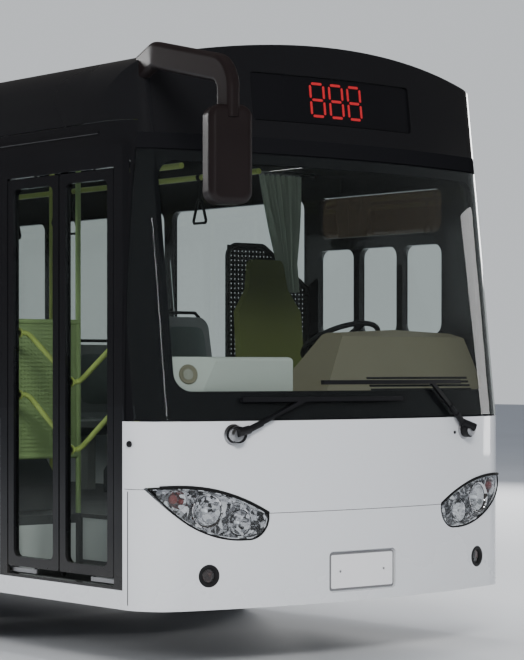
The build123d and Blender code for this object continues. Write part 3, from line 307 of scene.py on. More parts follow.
silver_paint = finish("silver_wheel_paint", (0.46, 0.47, 0.48), 0.34, metallic=0.7, drift=(0.08, 9.0),
                      dust=(0.35, 1.0))
steel = finish("plain_steel", (0.42, 0.42, 0.43), 0.3, metallic=1.0, drift=(0.12, 20.0), dust=(0.2, 1.0))


def reflector(name, color, scale, lean):
    """Bright metal pressed into small facets that mirror different parts of the room."""
    material = finish(name, color, 0.08, metallic=1.0, drift=(0.05, 12.0))
    tree = material.node_tree
    feed(tree, tree.nodes["Principled BSDF"], {"Normal": effect(tree, FACETS, Scale=scale, Lean=lean)})
    return material


chrome = reflector("bright_reflector", (0.74, 0.74, 0.75), 48.0, 1.0)
tray_chrome = reflector("lamp_tray_chrome", (0.78, 0.78, 0.79), 34.0, 1.3)
smoked_chrome = reflector("smoked_reflector", (0.13, 0.06, 0.05), 110.0, 1.4)
rubber = finish("tyre_rubber", (0.022, 0.022, 0.023), 0.72, drift=(0.2, 14.0), grain=(0.3, 500.0),
                dust=(0.45, 1.1), dust_color=(0.20, 0.18, 0.16))
seal_rubber = finish("seal_rubber", (0.010, 0.010, 0.010), 0.65, drift=(0.15, 30.0), grain=(0.15, 900.0),
                     shine=0.15)
floor_paint = finish("pale_studio_floor", (0.60, 0.61, 0.62), 0.7, drift=(0.02, 0.3))
studio_floor.data.materials.append(floor_paint)
print("body finishes:", len(bpy.data.materials))

# %% [markdown]
# The roof is one solid, but its shoulders are black like the window bands and only its top is white. The
# line between the two runs along the bus, so it depends on how far a point lies from the middle. The dome
# over the windscreen is black right across.

# %% Two-tone roof
SHOULDER_X, DOME_Y = 1.02, -4.02
roof_paint = finish("roof_paint", (0.78, 0.79, 0.81), 0.28, coat=0.15, drift=(0.02, 0.8), shine=0.3)
tree, shader, _, axes, base = opened(roof_paint)
beyond = calc(tree, "GREATER_THAN", calc(tree, "ABSOLUTE", axes["X"]), SHOULDER_X)
black = calc(tree, "MAXIMUM", beyond, calc(tree, "LESS_THAN", axes["Y"], DOME_Y))
feed(tree, shader, {"Base Color": blend(tree, base, (0.007, 0.007, 0.008, 1), black)})
print("roof paint splits at", SHOULDER_X, "m from the middle")

# %% [markdown]
# Inside, the bus is moulded plastic, vinyl floor and painted tube. The handrails and the panels beside the
# doors are the pale yellow-green that makes them easy to find.

# %% Interior finishes
dash_plastic = finish("dash_plastic", (0.135, 0.122, 0.085), 0.55, drift=(0.1, 5.0), grain=(0.45, 800.0))
shelf_plastic = finish("shelf_plastic", (0.34, 0.36, 0.33), 0.5, drift=(0.06, 4.0), grain=(0.3, 900.0))
seat_shell = finish("seat_shell_plastic", (0.20, 0.205, 0.20), 0.45, drift=(0.08, 6.0), grain=(0.3, 1100.0))
seat_olive = finish("driver_seat_cloth", (0.085, 0.100, 0.034), 0.85, drift=(0.12, 16.0), grain=(0.6, 420.0))
rail_green = finish("rail_green_paint", (0.42, 0.50, 0.13), 0.36, coat=0.3, drift=(0.05, 8.0))
panel_green = finish("panel_green_plastic", (0.34, 0.46, 0.20), 0.5, drift=(0.06, 6.0), grain=(0.2, 900.0))
lining_grey = finish("lining_grey", (0.30, 0.31, 0.31), 0.6, drift=(0.05, 3.0), grain=(0.25, 700.0))
engine_paint = finish("engine_iron", (0.07, 0.07, 0.068), 0.6, metallic=0.5, drift=(0.3, 7.0), grain=(0.5, 180.0),
                      dust=(0.5, 1.2))

print("interior finishes:", len(bpy.data.materials), "materials so far")

# %% [markdown]
# Three finishes get more than the recipe: the floor its flecks, the black frame its gloss on the header
# alone, since the windscreen covers the rest, and the partition and the green panels their round holes. A
# hole is cut by the material's alpha, because thousands of real holes would only slow the scene down.

# %% Flecks, header gloss and holes
# Dark grey vinyl whose colour is set darker still as painted shade, for the shade that fills the inside of the
# bus.
floor_vinyl_painted_shade = finish("floor_vinyl_painted_shade", (0.075, 0.078, 0.08), 0.6, drift=(0.08, 2.0))
tree, shader, coords, _, base = opened(floor_vinyl_painted_shade)
cells = add_node(tree, "TexVoronoi", {"Vector": coords["Object"], "Scale": 260.0})
flecks = add_node(tree, "MapRange", {"Value": cells.outputs["Distance"], "From Min": 0.18, "From Max": 0.10})
feed(tree, shader, {"Base Color": blend(tree, base, (0.20, 0.21, 0.22, 1), flecks.outputs["Result"])})

HEADER_Z = 2.70
front_black = finish("front_black", (0.008, 0.008, 0.009), 0.14, drift=(0.2, 0.9))
tree, shader, _, axes, _ = opened(front_black)
shine = calc(tree, "MULTIPLY", calc(tree, "GREATER_THAN", axes["Z"], HEADER_Z), 0.28)
feed(tree, shader, {"Coat Weight": shine, "Specular IOR Level": shine})


def perforated(material, pitch, radius, plate_foot):
    """Cut round holes into the faces that look along the bus, above a given height."""
    tree, shader, coords, axes, _ = opened(material)
    grid = calc_vector(tree, "SCALE", coords["Object"], Scale=1 / pitch)
    cell = calc_vector(tree, "SUBTRACT", calc_vector(tree, "FRACTION", grid), HALF)
    flat = calc_vector(tree, "MULTIPLY", cell, (1.0, 0.0, 1.0))
    solid = calc(tree, "GREATER_THAN", calc_vector(tree, "LENGTH", flat), radius / pitch)
    facing = add_node(tree, "SeparateXYZ", {"Vector": coords["Normal"]}).outputs["Y"]
    tube = calc(tree, "LESS_THAN", calc(tree, "ABSOLUTE", facing), 0.999)
    below = calc(tree, "LESS_THAN", axes["Z"], plate_foot)
    feed(tree, shader, {"Alpha": calc(tree, "MAXIMUM", calc(tree, "MAXIMUM", solid, tube), below)})


screen_plate = finish("partition_sheet", (0.016, 0.016, 0.016), 0.45, drift=(0.2, 5.0))
perforated(screen_plate, 0.028, 0.0075, 1.30)
perforated(panel_green, 0.022, 0.0045, 0.5)
print("holes in", screen_plate.name, "and", panel_green.name)

# %% [markdown]
# Glass is the one finish that a path tracer finds hard: light that reaches the seats has to pass the panes
# twice. Each pane therefore lets shadow and diffuse rays straight through with its tint, and treats only
# the rays that come from the camera or a mirror as real glass. The lamp lenses use the same recipe, clear at
# the front, red at the back and amber along the sides.

# %% Glass finishes
def pane(name, tint, rough=0.0, bend=1.45):
    """Glass for the camera, and tinted clear air for shadow and diffuse rays."""
    material, tree, shader = new_material(name, {"Roughness": rough, "IOR": bend, "Transmission Weight": 1.0})
    tone, _ = drifting(tree, 0.7, tint, [min(1.0, c * 1.04) for c in tint])
    feed(tree, shader, {"Base Color": tone})
    clear = add_node(tree, "BsdfTransparent", {"Color": (*[sqrt(c) for c in tint], 1)})
    ray = add_node(tree, "LightPath").outputs
    either = calc(tree, "MAXIMUM", ray["Is Shadow Ray"], ray["Is Diffuse Ray"])
    choose = add_node(tree, "MixShader", {"Fac": either, 1: shader.outputs["BSDF"], 2: clear.outputs["BSDF"]})
    feed(tree, tree.nodes["Material Output"], {"Surface": choose.outputs["Shader"]})
    return material


screen_glass = pane("windscreen_glass", (0.80, 0.84, 0.82), bend=1.22)
side_pane = pane("side_window_glass", (0.62, 0.66, 0.65), bend=1.25)
door_pane = pane("door_glass", (0.60, 0.64, 0.61), bend=1.12)
lens_clear = pane("lamp_lens_clear", (0.95, 0.96, 0.97))
lens_red = pane("lamp_lens_red", (0.75, 0.02, 0.015), rough=0.05)
lens_amber = pane("lamp_lens_amber", (0.95, 0.32, 0.02), rough=0.05)
display_glass = finish("display_glass", (0.006, 0.006, 0.007), 0.2, drift=(0.1, 3.0), shine=0.2)
print("glass finishes ready")

# %% [markdown]
# Each carried-over solid gets its finish through its material slot; its mesh is never touched. The table
# below says which finish stands on which solid, so it is easy to try another colour on a whole group.

# %% Finish of each solid
def on_each_leaf(part):
    """Names of one part of all four door leaves."""
    return [f"door_{doorway}_{part}_{letter}" for doorway in ("front", "mid") for letter in "ab"]


FINISH_OF = {
    white_paint: ["skirt_left", "skirt_right", "nose_panel", "front_bumper", "rear_bumper", "rear_wall",
                  "engine_lid", "roof_hatch", "roof_unit"],
    roof_paint: ["roof"],
    front_black: ["front_frame"],
    screen_plate: ["partition"],
    black_paint: ["window_band_left", "window_band_right"],
    mirror_shell_painted_reflection: ["mirror_right", "mirror_left"],
    door_paint: ["door_frames", *on_each_leaf("leaf")],
    black_trim: ["wipers", "steering_wheel", "curtain"],
    chassis_paint: ["underframe", "front_axle", "rear_axle", "knuckle_left", "knuckle_right"],
    steel: on_each_leaf("arm"),
    silver_paint: ["rim_front_left", "rim_front_right", "rims_rear_left", "rims_rear_right"],
    rubber: ["tyre_front_left", "tyre_front_right", "tyres_rear_left", "tyres_rear_right"],
    tray_chrome: ["headlamps"],
    lens_clear: ["lamp_lenses"],
    lens_red: ["rear_lamps"],
    display_glass: ["display"],
    screen_glass: ["windscreen"],
    side_pane: ["side_glass", "rear_glass"],
    door_pane: on_each_leaf("glass"),
    floor_vinyl_painted_shade: ["floor"],
    dash_plastic: ["dashboard"],
    shelf_plastic: ["dash_box"],
    panel_green: ["modesty_panels"],
    seat_olive: ["driver_seat"],
    seat_shell: ["passenger_seats"],
    rail_green: ["handrails"],
    engine_paint: ["engine"],
}

for material, names in FINISH_OF.items():
    for name in names:
        if name in nodes:
            nodes[name].data.materials.clear()
            nodes[name].data.materials.append(material)
unfinished = sorted(set(nodes) - {name for names in FINISH_OF.values() for name in names})
print("solids without a finish:", unfinished)

# %% [markdown]
# The pieces that we add are all made the same way: a bmesh is shaped with operators, becomes an object at
# the origin, gets a finish, and rides on the body that carries it. One helper does these last steps for all.

# %% Making a piece
FRONT_Y = -4.98
REAR_Y = 5.52
SIDE_X = 1.25
LEFT, BACK, UP = Vector((1, 0, 0)), Vector((0, 1, 0)), Vector((0, 0, 1))
SHARP_FROM = radians(35)
pieces_made = []


def as_piece(name, shape, material, body="body", smooth=True):
    """Turn a bmesh into a named object that rides on a body."""
    bmesh.ops.recalc_face_normals(shape, faces=shape.faces)
    mesh = bpy.data.meshes.new(name)
    shape.to_mesh(mesh)
    shape.free()
    piece = bpy.data.objects.new(name, mesh)
    mesh.materials.append(material)
    bpy.context.scene.collection.objects.link(piece)
    if smooth:
        mesh.shade_smooth()
        mesh.set_sharp_from_angle(angle=SHARP_FROM)
    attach(piece, body)
    pieces_made.append(name)
    return piece


print("the bus runs from", FRONT_Y, "to", REAR_Y, "and is", 2 * SIDE_X, "m wide")

# %% [markdown]
# Boxes and discs make most of the small parts. No real edge is as sharp as a knife, so both helpers can round
# theirs with a bevel, which gives each edge its thin line of light.

# %% Boxes and discs
def edges_of(verts):
    """All edges that meet some vertices."""
    return {edge for vert in verts for edge in vert.link_edges}


def round_off(shape, edges, width, segments=2):
    """Round edges by a given width."""
    bmesh.ops.bevel(shape, geom=list(edges), offset=width, segments=segments, profile=0.5, affect="EDGES",
                    material=-1)


def add_cube(shape, matrix):
    """Unit cube, sized and placed by a matrix."""
    return bmesh.ops.create_cube(shape, size=1, matrix=matrix)["verts"]


def add_box(shape, low, high, edge=0.0, segments=2):
    """Box between two corners, its edges rounded by the given width."""
    low, high = Vector(low), Vector(high)
    made = add_cube(shape, Matrix.Translation((low + high) / 2) @ Matrix.Diagonal((*(high - low), 1)))
    if edge:
        round_off(shape, edges_of(made), edge, segments)


def frame_at(place, direction):
    """Matrix that turns local Z along a direction and moves it to a place."""
    turn = Vector(direction).to_track_quat("Z", "Y").to_matrix().to_4x4()
    return Matrix.Translation(place) @ turn


def add_disc(shape, place, direction, radius, depth, sides=24, edge=0.0):
    """Short cylinder centred on a place, with its rims rounded."""
    made = bmesh.ops.create_cone(shape, cap_ends=True, segments=sides, radius1=radius, radius2=radius,
                                 depth=depth, matrix=frame_at(place, direction))["verts"]
    if edge:
        rims = [e for e in edges_of(made) if any(len(face.verts) > 4 for face in e.link_faces)]
        round_off(shape, rims, edge)


print("box and disc helpers ready")

# %% [markdown]
# Round things are turned as on a lathe: a section is spun about an axis. Bent rods are tubes: a circle stands
# at each point of a path, and neighbouring circles are bridged.

# %% Turned shapes and tubes
def add_turned(shape, outline, place, direction, steps=32):
    """Shape turned about a direction, from (radius, height) points."""
    old = set(shape.verts)
    points = [shape.verts.new((radius, 0, height)) for radius, height in outline]
    edges = [shape.edges.new(pair) for pair in zip(points, points[1:])]
    bmesh.ops.spin(shape, geom=points + edges, cent=Vector(), axis=UP, angle=2 * pi, steps=steps, use_merge=True)
    made = [vert for vert in shape.verts if vert not in old]
    bmesh.ops.transform(shape, matrix=frame_at(place, direction), verts=made)
    bmesh.ops.remove_doubles(shape, verts=made, dist=1e-5)


def add_tube(shape, points, radius, sides=12):
    """Round tube through points, as rings that are bridged one to the next."""
    points = [Vector(p) for p in points]
    rings = []
    for i, point in enumerate(points):
        back = point - points[i - 1] if i else points[1] - point
        ahead = points[i + 1] - point if i < len(points) - 1 else back
        way = (back.normalized() + ahead.normalized()).normalized()
        rings.append(bmesh.ops.create_circle(shape, cap_ends=i in (0, len(points) - 1), radius=radius,
                                             segments=sides, matrix=frame_at(point, way))["verts"])
    for first, second in zip(rings, rings[1:]):
        around = [e for ring in (first, second) for e in edges_of(ring) if set(e.verts) <= set(ring)]
        bmesh.ops.bridge_loops(shape, edges=around)


print("turning and tube helpers ready")

# %% [markdown]
# The number display is a matrix of red lamps behind a dark window. From the street its three digits read as
# seven glowing strokes each. A stroke is a flat bar with pointed ends: a box whose corners are bevelled.
# The strokes follow the lean and the bow of the header, so we look up the dark window's surface for each.

# %% Red digits
def glow(name, color, strength):
    """Glowing lamp colour with a slightly uneven brightness."""
    material, tree, shader = new_material(name, {"Roughness": 0.4, "Emission Strength": strength})
    tone, _ = drifting(tree, 60.0, [c * 0.75 for c in color], color)
    feed(tree, shader, {"Emission Color": tone, "Base Color": tone})
    return material


def hit(name, start, way):
    """Where a line first meets a solid, and the surface's direction there."""
    found, place, normal, _ = nodes[name].ray_cast(Vector(start), Vector(way).normalized())
    if not found:
        raise ValueError(f"no hit on {name} from {start}")
    return place, normal


def front_hit(name, x, z):
    """Hit on a solid by a line that comes from ahead of the bus."""
    return hit(name, (x, FRONT_Y - 1, z), BACK)


def edges_along(verts, way):
    """The edges of some vertices that run along a direction."""
    return [e for e in edges_of(verts) if abs((e.verts[1].co - e.verts[0].co).normalized().dot(way)) > 0.9]


led_red = glow("led_red", (0.42, 0.014, 0.018), 0.40)
DIGIT_W, DIGIT_H, STROKE = 0.088, 0.172, 0.0135
DIGIT_STEP, DIGIT_Z = 0.128, 2.92
STROKES = [(0, 1, "across"), (0, 0, "across"), (0, -1, "across"),
           (-1, 0.5, "up"), (1, 0.5, "up"), (-1, -0.5, "up"), (1, -0.5, "up")]

shape = bmesh.new()
for centre in (-DIGIT_STEP, 0.0, DIGIT_STEP):
    place, normal = front_hit("display", centre, DIGIT_Z)
    turn = normal.to_track_quat("Y", "Z").to_matrix().to_4x4()
    sheet = Matrix.Translation(place + normal * 0.0015) @ turn
    for side, level, way in STROKES:
        length = DIGIT_W - STROKE * 1.3 if way == "across" else DIGIT_H / 2 - STROKE * 1.3
        local = Matrix.Translation((side * DIGIT_W / 2, 0, level * DIGIT_H / 2))
        if way == "up":
            local = local @ Matrix.Rotation(pi / 2, 4, "Y")
        size = Matrix.Diagonal((length, 0.002, STROKE, 1))
        made = add_cube(shape, sheet @ local @ size)
        round_off(shape, edges_along(made, normal), STROKE * 0.45)
as_piece("display_digits", shape, led_red, smooth=False)
print("digits:", 3, "of", len(STROKES), "strokes")

# %% [markdown]
# Behind each almond lens sit three bright bowls: the turn lamp at the outer tip, the main lamp, and the
# smaller high beam near the middle of the bus. A bowl is a turned curve, deep and round, with a bulb on its
# axis. The lamp's own bright tray, which came with the solids, fills what the bowls leave free.

# %% Headlamp bowls
# middle x, middle z, radius and depth of each bowl, from the outer tip inwards
BOWLS = [(1.078, 0.868, 0.046, 0.040), (0.930, 0.812, 0.080, 0.060), (0.752, 0.748, 0.062, 0.050)]
bulb_glass = finish("bulb_glass", (0.62, 0.64, 0.66), 0.12, coat=1.0, drift=(0.1, 80.0))
turn_red = finish("turn_lamp_red", (0.09, 0.008, 0.005), 0.25, coat=0.2, drift=(0.3, 60.0))


def bowl_outline(radius, depth):
    """Open bowl seen in section, from its throat to its rim, with a rolled lip."""
    curve = [(radius * s, depth * s * s) for s in (0.16, 0.3, 0.45, 0.6, 0.75, 0.9, 1.0)]
    return curve + [(radius + 0.003, depth + 0.002), (radius + 0.005, depth), (radius + 0.005, depth - 0.006)]


bowls = bmesh.new()
bulbs = bmesh.new()
turn_domes = bmesh.new()
for sign in (-1, 1):
    for i, (x, z, radius, depth) in enumerate(BOWLS):
        place, _ = front_hit("headlamps", sign * x, z)
        way = Vector((sign * 0.18, -1, 0.02)).normalized()
        foot = place - BACK * 0.004
        add_turned(bowls, bowl_outline(radius, depth), foot, way, steps=36)
        if i:
            add_turned(bulbs, [(0.0, depth * 0.72), (radius * 0.10, depth * 0.69), (radius * 0.15, depth * 0.56),
                               (radius * 0.15, depth * 0.1), (0.0, depth * 0.1)], foot, way, steps=16)
            continue
        for inward, size in ((0.012, 0.026), (-0.034, 0.017)):
            add_turned(turn_domes, [(0.0, 0.040), (size * 0.5, 0.038), (size * 0.85, 0.031), (size, 0.020),
                                    (size, 0.006)], foot + Vector((sign * inward, 0, inward * 0.3)), way, steps=20)
as_piece("headlamp_bowls", bowls, chrome)
as_piece("headlamp_bulbs", bulbs, bulb_glass)
as_piece("headlamp_turn_domes", turn_domes, turn_red)
print("bowls per lamp:", len(BOWLS))

# %% [markdown]
# A black rubber lip seals each almond lens against the white panels. It is thick along the top edge, where
# the photograph shows a dark brow, and thin below. The edge of the lens is three arcs; we walk along them,
# look up the lens just inside each point, and lay the lip in the gap beside it.

# %% Headlamp lips
LAMP_ARCS = [((1.212, 0.925), (0.930, 0.915), (0.600, 0.790)), ((0.600, 0.790), (0.625, 0.705), (0.720, 0.665)),
             ((0.720, 0.665), (0.985, 0.720), (1.212, 0.925))]
LAMP_CENTRE = Vector((0.90, 0.80))
ARC_STEPS = 16


def arc_points(a, b, c, count):
    """Points on the circle through three points, from the first to the last."""
    a, b, c = Vector(a), Vector(b), Vector(c)
    d = 2 * (a.x * (b.y - c.y) + b.x * (c.y - a.y) + c.x * (a.y - b.y))
    squares = [p.length_squared for p in (a, b, c)]
    middle = Vector(((squares[0] * (b.y - c.y) + squares[1] * (c.y - a.y) + squares[2] * (a.y - b.y)) / d,
                     (squares[0] * (c.x - b.x) + squares[1] * (a.x - c.x) + squares[2] * (b.x - a.x)) / d))
    first, last = a - middle, c - middle
    sweep = first.angle_signed(last)
    return [middle + Matrix.Rotation(-sweep * i / count, 2) @ first for i in range(count + 1)]


lips = bmesh.new()
for sign in (-1, 1):
    places = []
    for point in [p for arc in LAMP_ARCS for p in arc_points(*arc, ARC_STEPS)[:-1]]:
        inward = (LAMP_CENTRE - point).normalized()
        inner, outer = point + inward * 0.014, point - inward * 0.001
        spot, _ = front_hit("lamp_lenses", sign * inner.x, inner.y)
        places.append(Vector((sign * outer.x, spot.y - 0.001, outer.y)))
    add_tube(lips, places + places[:1], 0.0042, 8)
    brow = places[1:ARC_STEPS + 1]
    add_tube(lips, [p + Vector((0, -0.001, 0.003)) for p in brow], 0.0085, 8)
as_piece("headlamp_lips", lips, seal_rubber)
print("lips of", ARC_STEPS * len(LAMP_ARCS), "points each")

# %% [markdown]
# The round fog lamps are small versions of the same thing: a bowl, a bulb and a dark ring that seals the
# lamp against the bumper.

# %% Fog lamps
FOG_X, FOG_Z, FOG_R, FOG_RECESS = 0.93, 0.49, 0.048, 0.046
fog_bowls = bmesh.new()
fog_rings = bmesh.new()
for sign in (-1, 1):
    foot = front_hit("lamp_lenses", sign * FOG_X, FOG_Z)[0] + BACK * FOG_RECESS
    add_turned(fog_bowls, bowl_outline(0.034, 0.03), foot, -BACK, steps=28)
    add_turned(fog_bowls, [(0.0, 0.024), (0.005, 0.022), (0.006, 0.004), (0.0, 0.004)], foot, -BACK, steps=14)
    beside = FOG_R + 0.010
    near, far = [front_hit("front_bumper", sign * (FOG_X + gap), FOG_Z)[0] for gap in (-beside, beside)]
    out = Vector((sign * (far.y - near.y), -abs(far.x - near.x), 0)).normalized()
    add_turned(fog_rings, [(FOG_R - 0.016, -0.012), (FOG_R - 0.014, -0.003), (FOG_R - 0.006, 0.004),
                           (FOG_R + 0.005, 0.004), (FOG_R + 0.009, 0.001), (FOG_R + 0.009, -0.006)],
               (near + far) / 2, out, steps=36)
as_piece("fog_lamp_bowls", fog_bowls, smoked_chrome)
as_piece("fog_lamp_rings", fog_rings, black_trim)
print("fog lamps: 2")

# %% [markdown]
# The two opposed wipers turn on bosses in the white nose panel. The solid has each boss, arm and blade; here
# come the parts that a passer-by notices: a bright ring and a domed bright cap on the boss, and the thick
# black arm head that grips the shaft and runs up the first part of the arm.

# %% Wiper bosses
WIPER_X, WIPER_Z = 0.80, 1.19
# side of the bus, and the far end of each arm: distance from the middle, height
WIPER_TIPS = [(-1, 0.38, 1.352), (1, 0.50, 1.438)]
boss_rings = bmesh.new()
boss_caps = bmesh.new()
boss_y = {}
for sign in (-1, 1):
    place, _ = front_hit("nose_panel", sign * (WIPER_X - 0.06), WIPER_Z)
    boss_y[sign] = place.y
    foot = Vector((sign * WIPER_X, place.y + 0.012, WIPER_Z))
    way = Vector((sign * 0.2, -1, 0)).normalized()
    add_turned(boss_rings, [(0.043, -0.01), (0.052, -0.006), (0.053, 0.006), (0.049, 0.011), (0.043, 0.012)],
               foot, way, steps=36)
    add_turned(boss_caps, [(0.0, 0.064), (0.026, 0.063), (0.034, 0.056), (0.037, 0.046), (0.038, 0.02)],
               foot, way, steps=32)
as_piece("wiper_boss_rings", boss_rings, steel)
as_piece("wiper_boss_caps", boss_caps, steel)
arm_heads = bmesh.new()
for sign, tip_x, tip_z in WIPER_TIPS:
    start, end = Vector((sign * WIPER_X, WIPER_Z - 0.004)), Vector((sign * (tip_x + 0.011), tip_z + 0.012))
    run = []
    for share in (0.16, 0.34, 0.50):
        on_arm = start.lerp(end, share)
        face, _ = front_hit("wipers", on_arm.x, on_arm.y)
        run.append(face + BACK * 0.004)
    grip = Vector((sign * (WIPER_X + 0.022), boss_y[sign] - 0.052, WIPER_Z + 0.010))
    add_tube(arm_heads, [grip, grip.lerp(run[0], 0.5), run[0]], 0.022, 16)
    add_tube(arm_heads, [run[0], run[1]], 0.017, 14)
    add_tube(arm_heads, [run[1], run[2]], 0.012, 12)
as_piece("wiper_arm_heads", arm_heads, black_trim)
print("wiper bosses: 2")

# %% [markdown]
# A mirror head is a dark plastic shell with a bright glass set into the side that faces the driver. The
# right one hangs from its broad arm ahead of the front corner; its glass looks back along the bus. Each
# glass is a thin plate with rounded corners: a flat box whose four short edges are bevelled.

# %% Mirror glasses
mirror_glass = finish("mirror_glass", (0.75, 0.77, 0.79), 0.04, metallic=1.0, drift=(0.02, 6.0))


def rounded_plate(shape, middle, facing, width, height, depth, corner):
    """Upright thin plate with round corners that faces a level direction."""
    facing = Vector(facing)
    across = facing.cross(UP)
    turn = Matrix((across, UP, facing)).transposed().to_4x4()
    made = add_cube(shape, Matrix.Translation(middle) @ turn @ Matrix.Diagonal((width, height, depth, 1)))
    round_off(shape, edges_along(made, facing), corner, 5)


MIRROR_TURN = radians(-20)
MIRROR_X, MIRROR_Y = -1.255, FRONT_Y - 0.455
# middle height, width, height and corner of the main glass and of the wide-angle glass below it
RIGHT_GLASSES = [(2.565, 0.175, 0.27, 0.04), (2.365, 0.155, 0.075, 0.03)]
shape = bmesh.new()
back = Vector((-sin(MIRROR_TURN), cos(MIRROR_TURN), 0))
for z, width, height, corner in RIGHT_GLASSES:
    place, _ = hit("mirror_right", Vector((MIRROR_X, MIRROR_Y, z)) + back * 0.5, -back)
    rounded_plate(shape, place + back * 0.002, back, width, height, 0.006, corner)
place, _ = hit("mirror_left", (SIDE_X + 0.086, FRONT_Y + 1.090, 2.07), -BACK)
rounded_plate(shape, place + BACK * 0.002, BACK, 0.108, 0.38, 0.006, 0.03)
as_piece("mirror_glasses", shape, mirror_glass, smooth=False)
print("mirror glasses: 3")

# %% [markdown]
# Every door leaf carries two slanting grab bars on its inside, so that people can pull themselves up the
# step. They form a V with those of the other leaf. A bar is a tube with short feet that bend into the leaf's
# upright frame. The meeting edges carry a soft rubber profile that keeps fingers and rain out.

# %% Grab bars and door rubbers
DOOR_INSIDE_GAP = 0.052
BAR_RUNS = [(1.45, 1.71), (1.10, 1.38)]

for doorway in ("front", "mid"):
    for letter in ("a", "b"):
        node = f"door_{doorway}_leaf_{letter}"
        low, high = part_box(node)
        inside, middle = high[0], (low[0] + high[0]) / 2
        jamb_y, meet_y = (low[1], high[1]) if letter == "a" else (high[1], low[1])
        toward = 1 if meet_y > jamb_y else -1
        bars = bmesh.new()
        for low_z, high_z in BAR_RUNS:
            foot_high = Vector((inside, jamb_y + toward * 0.028, high_z))
            foot_low = Vector((inside, meet_y - toward * 0.026, low_z))
            out = Vector((DOOR_INSIDE_GAP, 0, 0))
            run = (foot_low - foot_high).normalized()
            add_tube(bars, [foot_high, foot_high + out * 0.65, foot_high + out * 0.9 + run * 0.014,
                            foot_high + out + run * 0.04, foot_low + out - run * 0.04,
                            foot_low + out * 0.9 - run * 0.014, foot_low + out * 0.65, foot_low], 0.0145, 14)
            for foot in (foot_high, foot_low):
                add_disc(bars, foot + Vector((0.003, 0, 0)), LEFT, 0.026, 0.006, 20, edge=0.002)
        as_piece(f"grab_bars_{doorway}_{letter}", bars, rail_green, body=node)
        edge = bmesh.new()
        y = meet_y + toward * 0.002
        add_box(edge, (middle - 0.012, y - 0.003, low[2] + 0.01),
                (middle + 0.012, y + 0.003, high[2] - 0.01), edge=0.002)
        as_piece(f"door_rubber_{doorway}_{letter}", edge, seal_rubber, body=node, smooth=False)
print("grab bars on 4 leaves")

# %% [markdown]
# Behind the doors the step's riser is a plain white plate, as the photograph shows through the lower glass.
# White plates close both ends of the well too. The floor's edge has a dark strip, and the tread has a
# rubber mat of fine ribs.

# %% Step trim
DOORWAYS_FROM = (FRONT_Y + 0.400, FRONT_Y + 4.870)
DOORWAY_LEN = 1.128
TREAD_Z, FLOOR_Z, FLOOR_EDGE_X = 0.4295, 0.70, -0.728
riser_white = finish("riser_white", (0.72, 0.73, 0.74), 0.4, drift=(0.04, 4.0), dust=(0.3, 0.9))
nosing_grey = finish("nosing_grey", (0.085, 0.086, 0.088), 0.5, drift=(0.08, 12.0), grain=(0.4, 500.0),
                     dust=(0.3, 0.9))
risers = bmesh.new()
nosings = bmesh.new()
mats = bmesh.new()
for y0 in DOORWAYS_FROM:
    y1 = y0 + DOORWAY_LEN
    add_box(risers, (-0.7235, y0 + 0.02, 0.47), (-0.7205, y1 - 0.02, 0.705), edge=0.001)
    for end in (y0 + 0.004, y1 - 0.0065):
        add_box(risers, (-1.13, end, 0.435), (-0.76, end + 0.0025, 0.672), edge=0.001)
    add_box(nosings, (FLOOR_EDGE_X, y0 + 0.01, FLOOR_Z), (-0.675, y1 - 0.01, 0.7225), edge=0.0008)
    for rib in range(14):
        x = -1.185 + rib * 0.033
        add_box(mats, (x, y0 + 0.03, TREAD_Z), (x + 0.018, y1 - 0.03, TREAD_Z + 0.004))
as_piece("step_risers", risers, riser_white, smooth=False)
as_piece("step_nosings", nosings, nosing_grey, smooth=False)
as_piece("step_mats", mats, seal_rubber, smooth=False)
print("step trim on", len(DOORWAYS_FROM), "doorways")

# %% [markdown]
# A narrow rain gutter runs along both cant rails, a long low bar with rounded edges. The nose panel has two
# small locks, and a thin dark seam marks each end of the front bumper, where the corner piece begins.

# %% Gutters, locks and corner seams
GUTTER_FOOT, GUTTER_TOP = 2.700, 2.714
SEAM_FOOT, SEAM_STEP = 0.345, 0.0565
gutters = bmesh.new()
for sign in (-1, 1):
    x = sign * (SIDE_X + 0.004)
    add_box(gutters, (x - 0.006, FRONT_Y + 0.60, GUTTER_FOOT), (x + 0.006, REAR_Y - 0.24, GUTTER_TOP), edge=0.003)
as_piece("rain_gutters", gutters, black_paint, smooth=False)

lock = bmesh.new()
place, normal = hit("nose_panel", (-1.5, -4.638, 1.146), LEFT)
add_turned(lock, [(0.0, 0.016), (0.010, 0.015), (0.015, 0.011), (0.016, 0.003), (0.009, 0.0), (0.009, -0.003)],
           place, normal, steps=20)
place, normal = front_hit("nose_panel", 0.715, 1.175)
add_disc(lock, place + normal * 0.002, normal, 0.008, 0.008, 16, edge=0.0015)
as_piece("nose_locks", lock, black_trim)
seams = bmesh.new()
for sign in (-1, 1):
    heights = [SEAM_FOOT + SEAM_STEP * i for i in range(11)]
    spots = [hit("front_bumper", (sign * 1.5, -4.622, z), LEFT * -sign)[0] for z in heights]
    add_tube(seams, spots, 0.0024, 6)
as_piece("bumper_corner_seams", seams, seal_rubber)
print("gutters and locks ready")

# %% [markdown]
# The curtain is grey-green cloth with a plain weave and a soft sheen. Two wave textures at right angles make
# the weave. They run in the piece's own UV map, so that they follow the folds.

# %% Curtain cloth
cloth, tree, shader = new_material("curtain_cloth", {"Sheen Weight": 0.35, "Roughness": 0.9})
own = add_node(tree, "UVMap").outputs["UV"]
weft, warp = [add_node(tree, "TexWave", {"Vector": own, "Scale": 180.0}, bands_direction=way).outputs["Fac"]
              for way in ("X", "Y")]
weave = {"Height": calc(tree, "MULTIPLY", weft, warp), "Strength": 0.35, "Distance": 0.001}
tone, _ = drifting(tree, 5.0, (0.36, 0.41, 0.33), (0.45, 0.50, 0.42))
feed(tree, shader, {"Normal": add_node(tree, "Bump", weave).outputs["Normal"], "Base Color": tone})
print("cloth nodes:", len(tree.nodes))

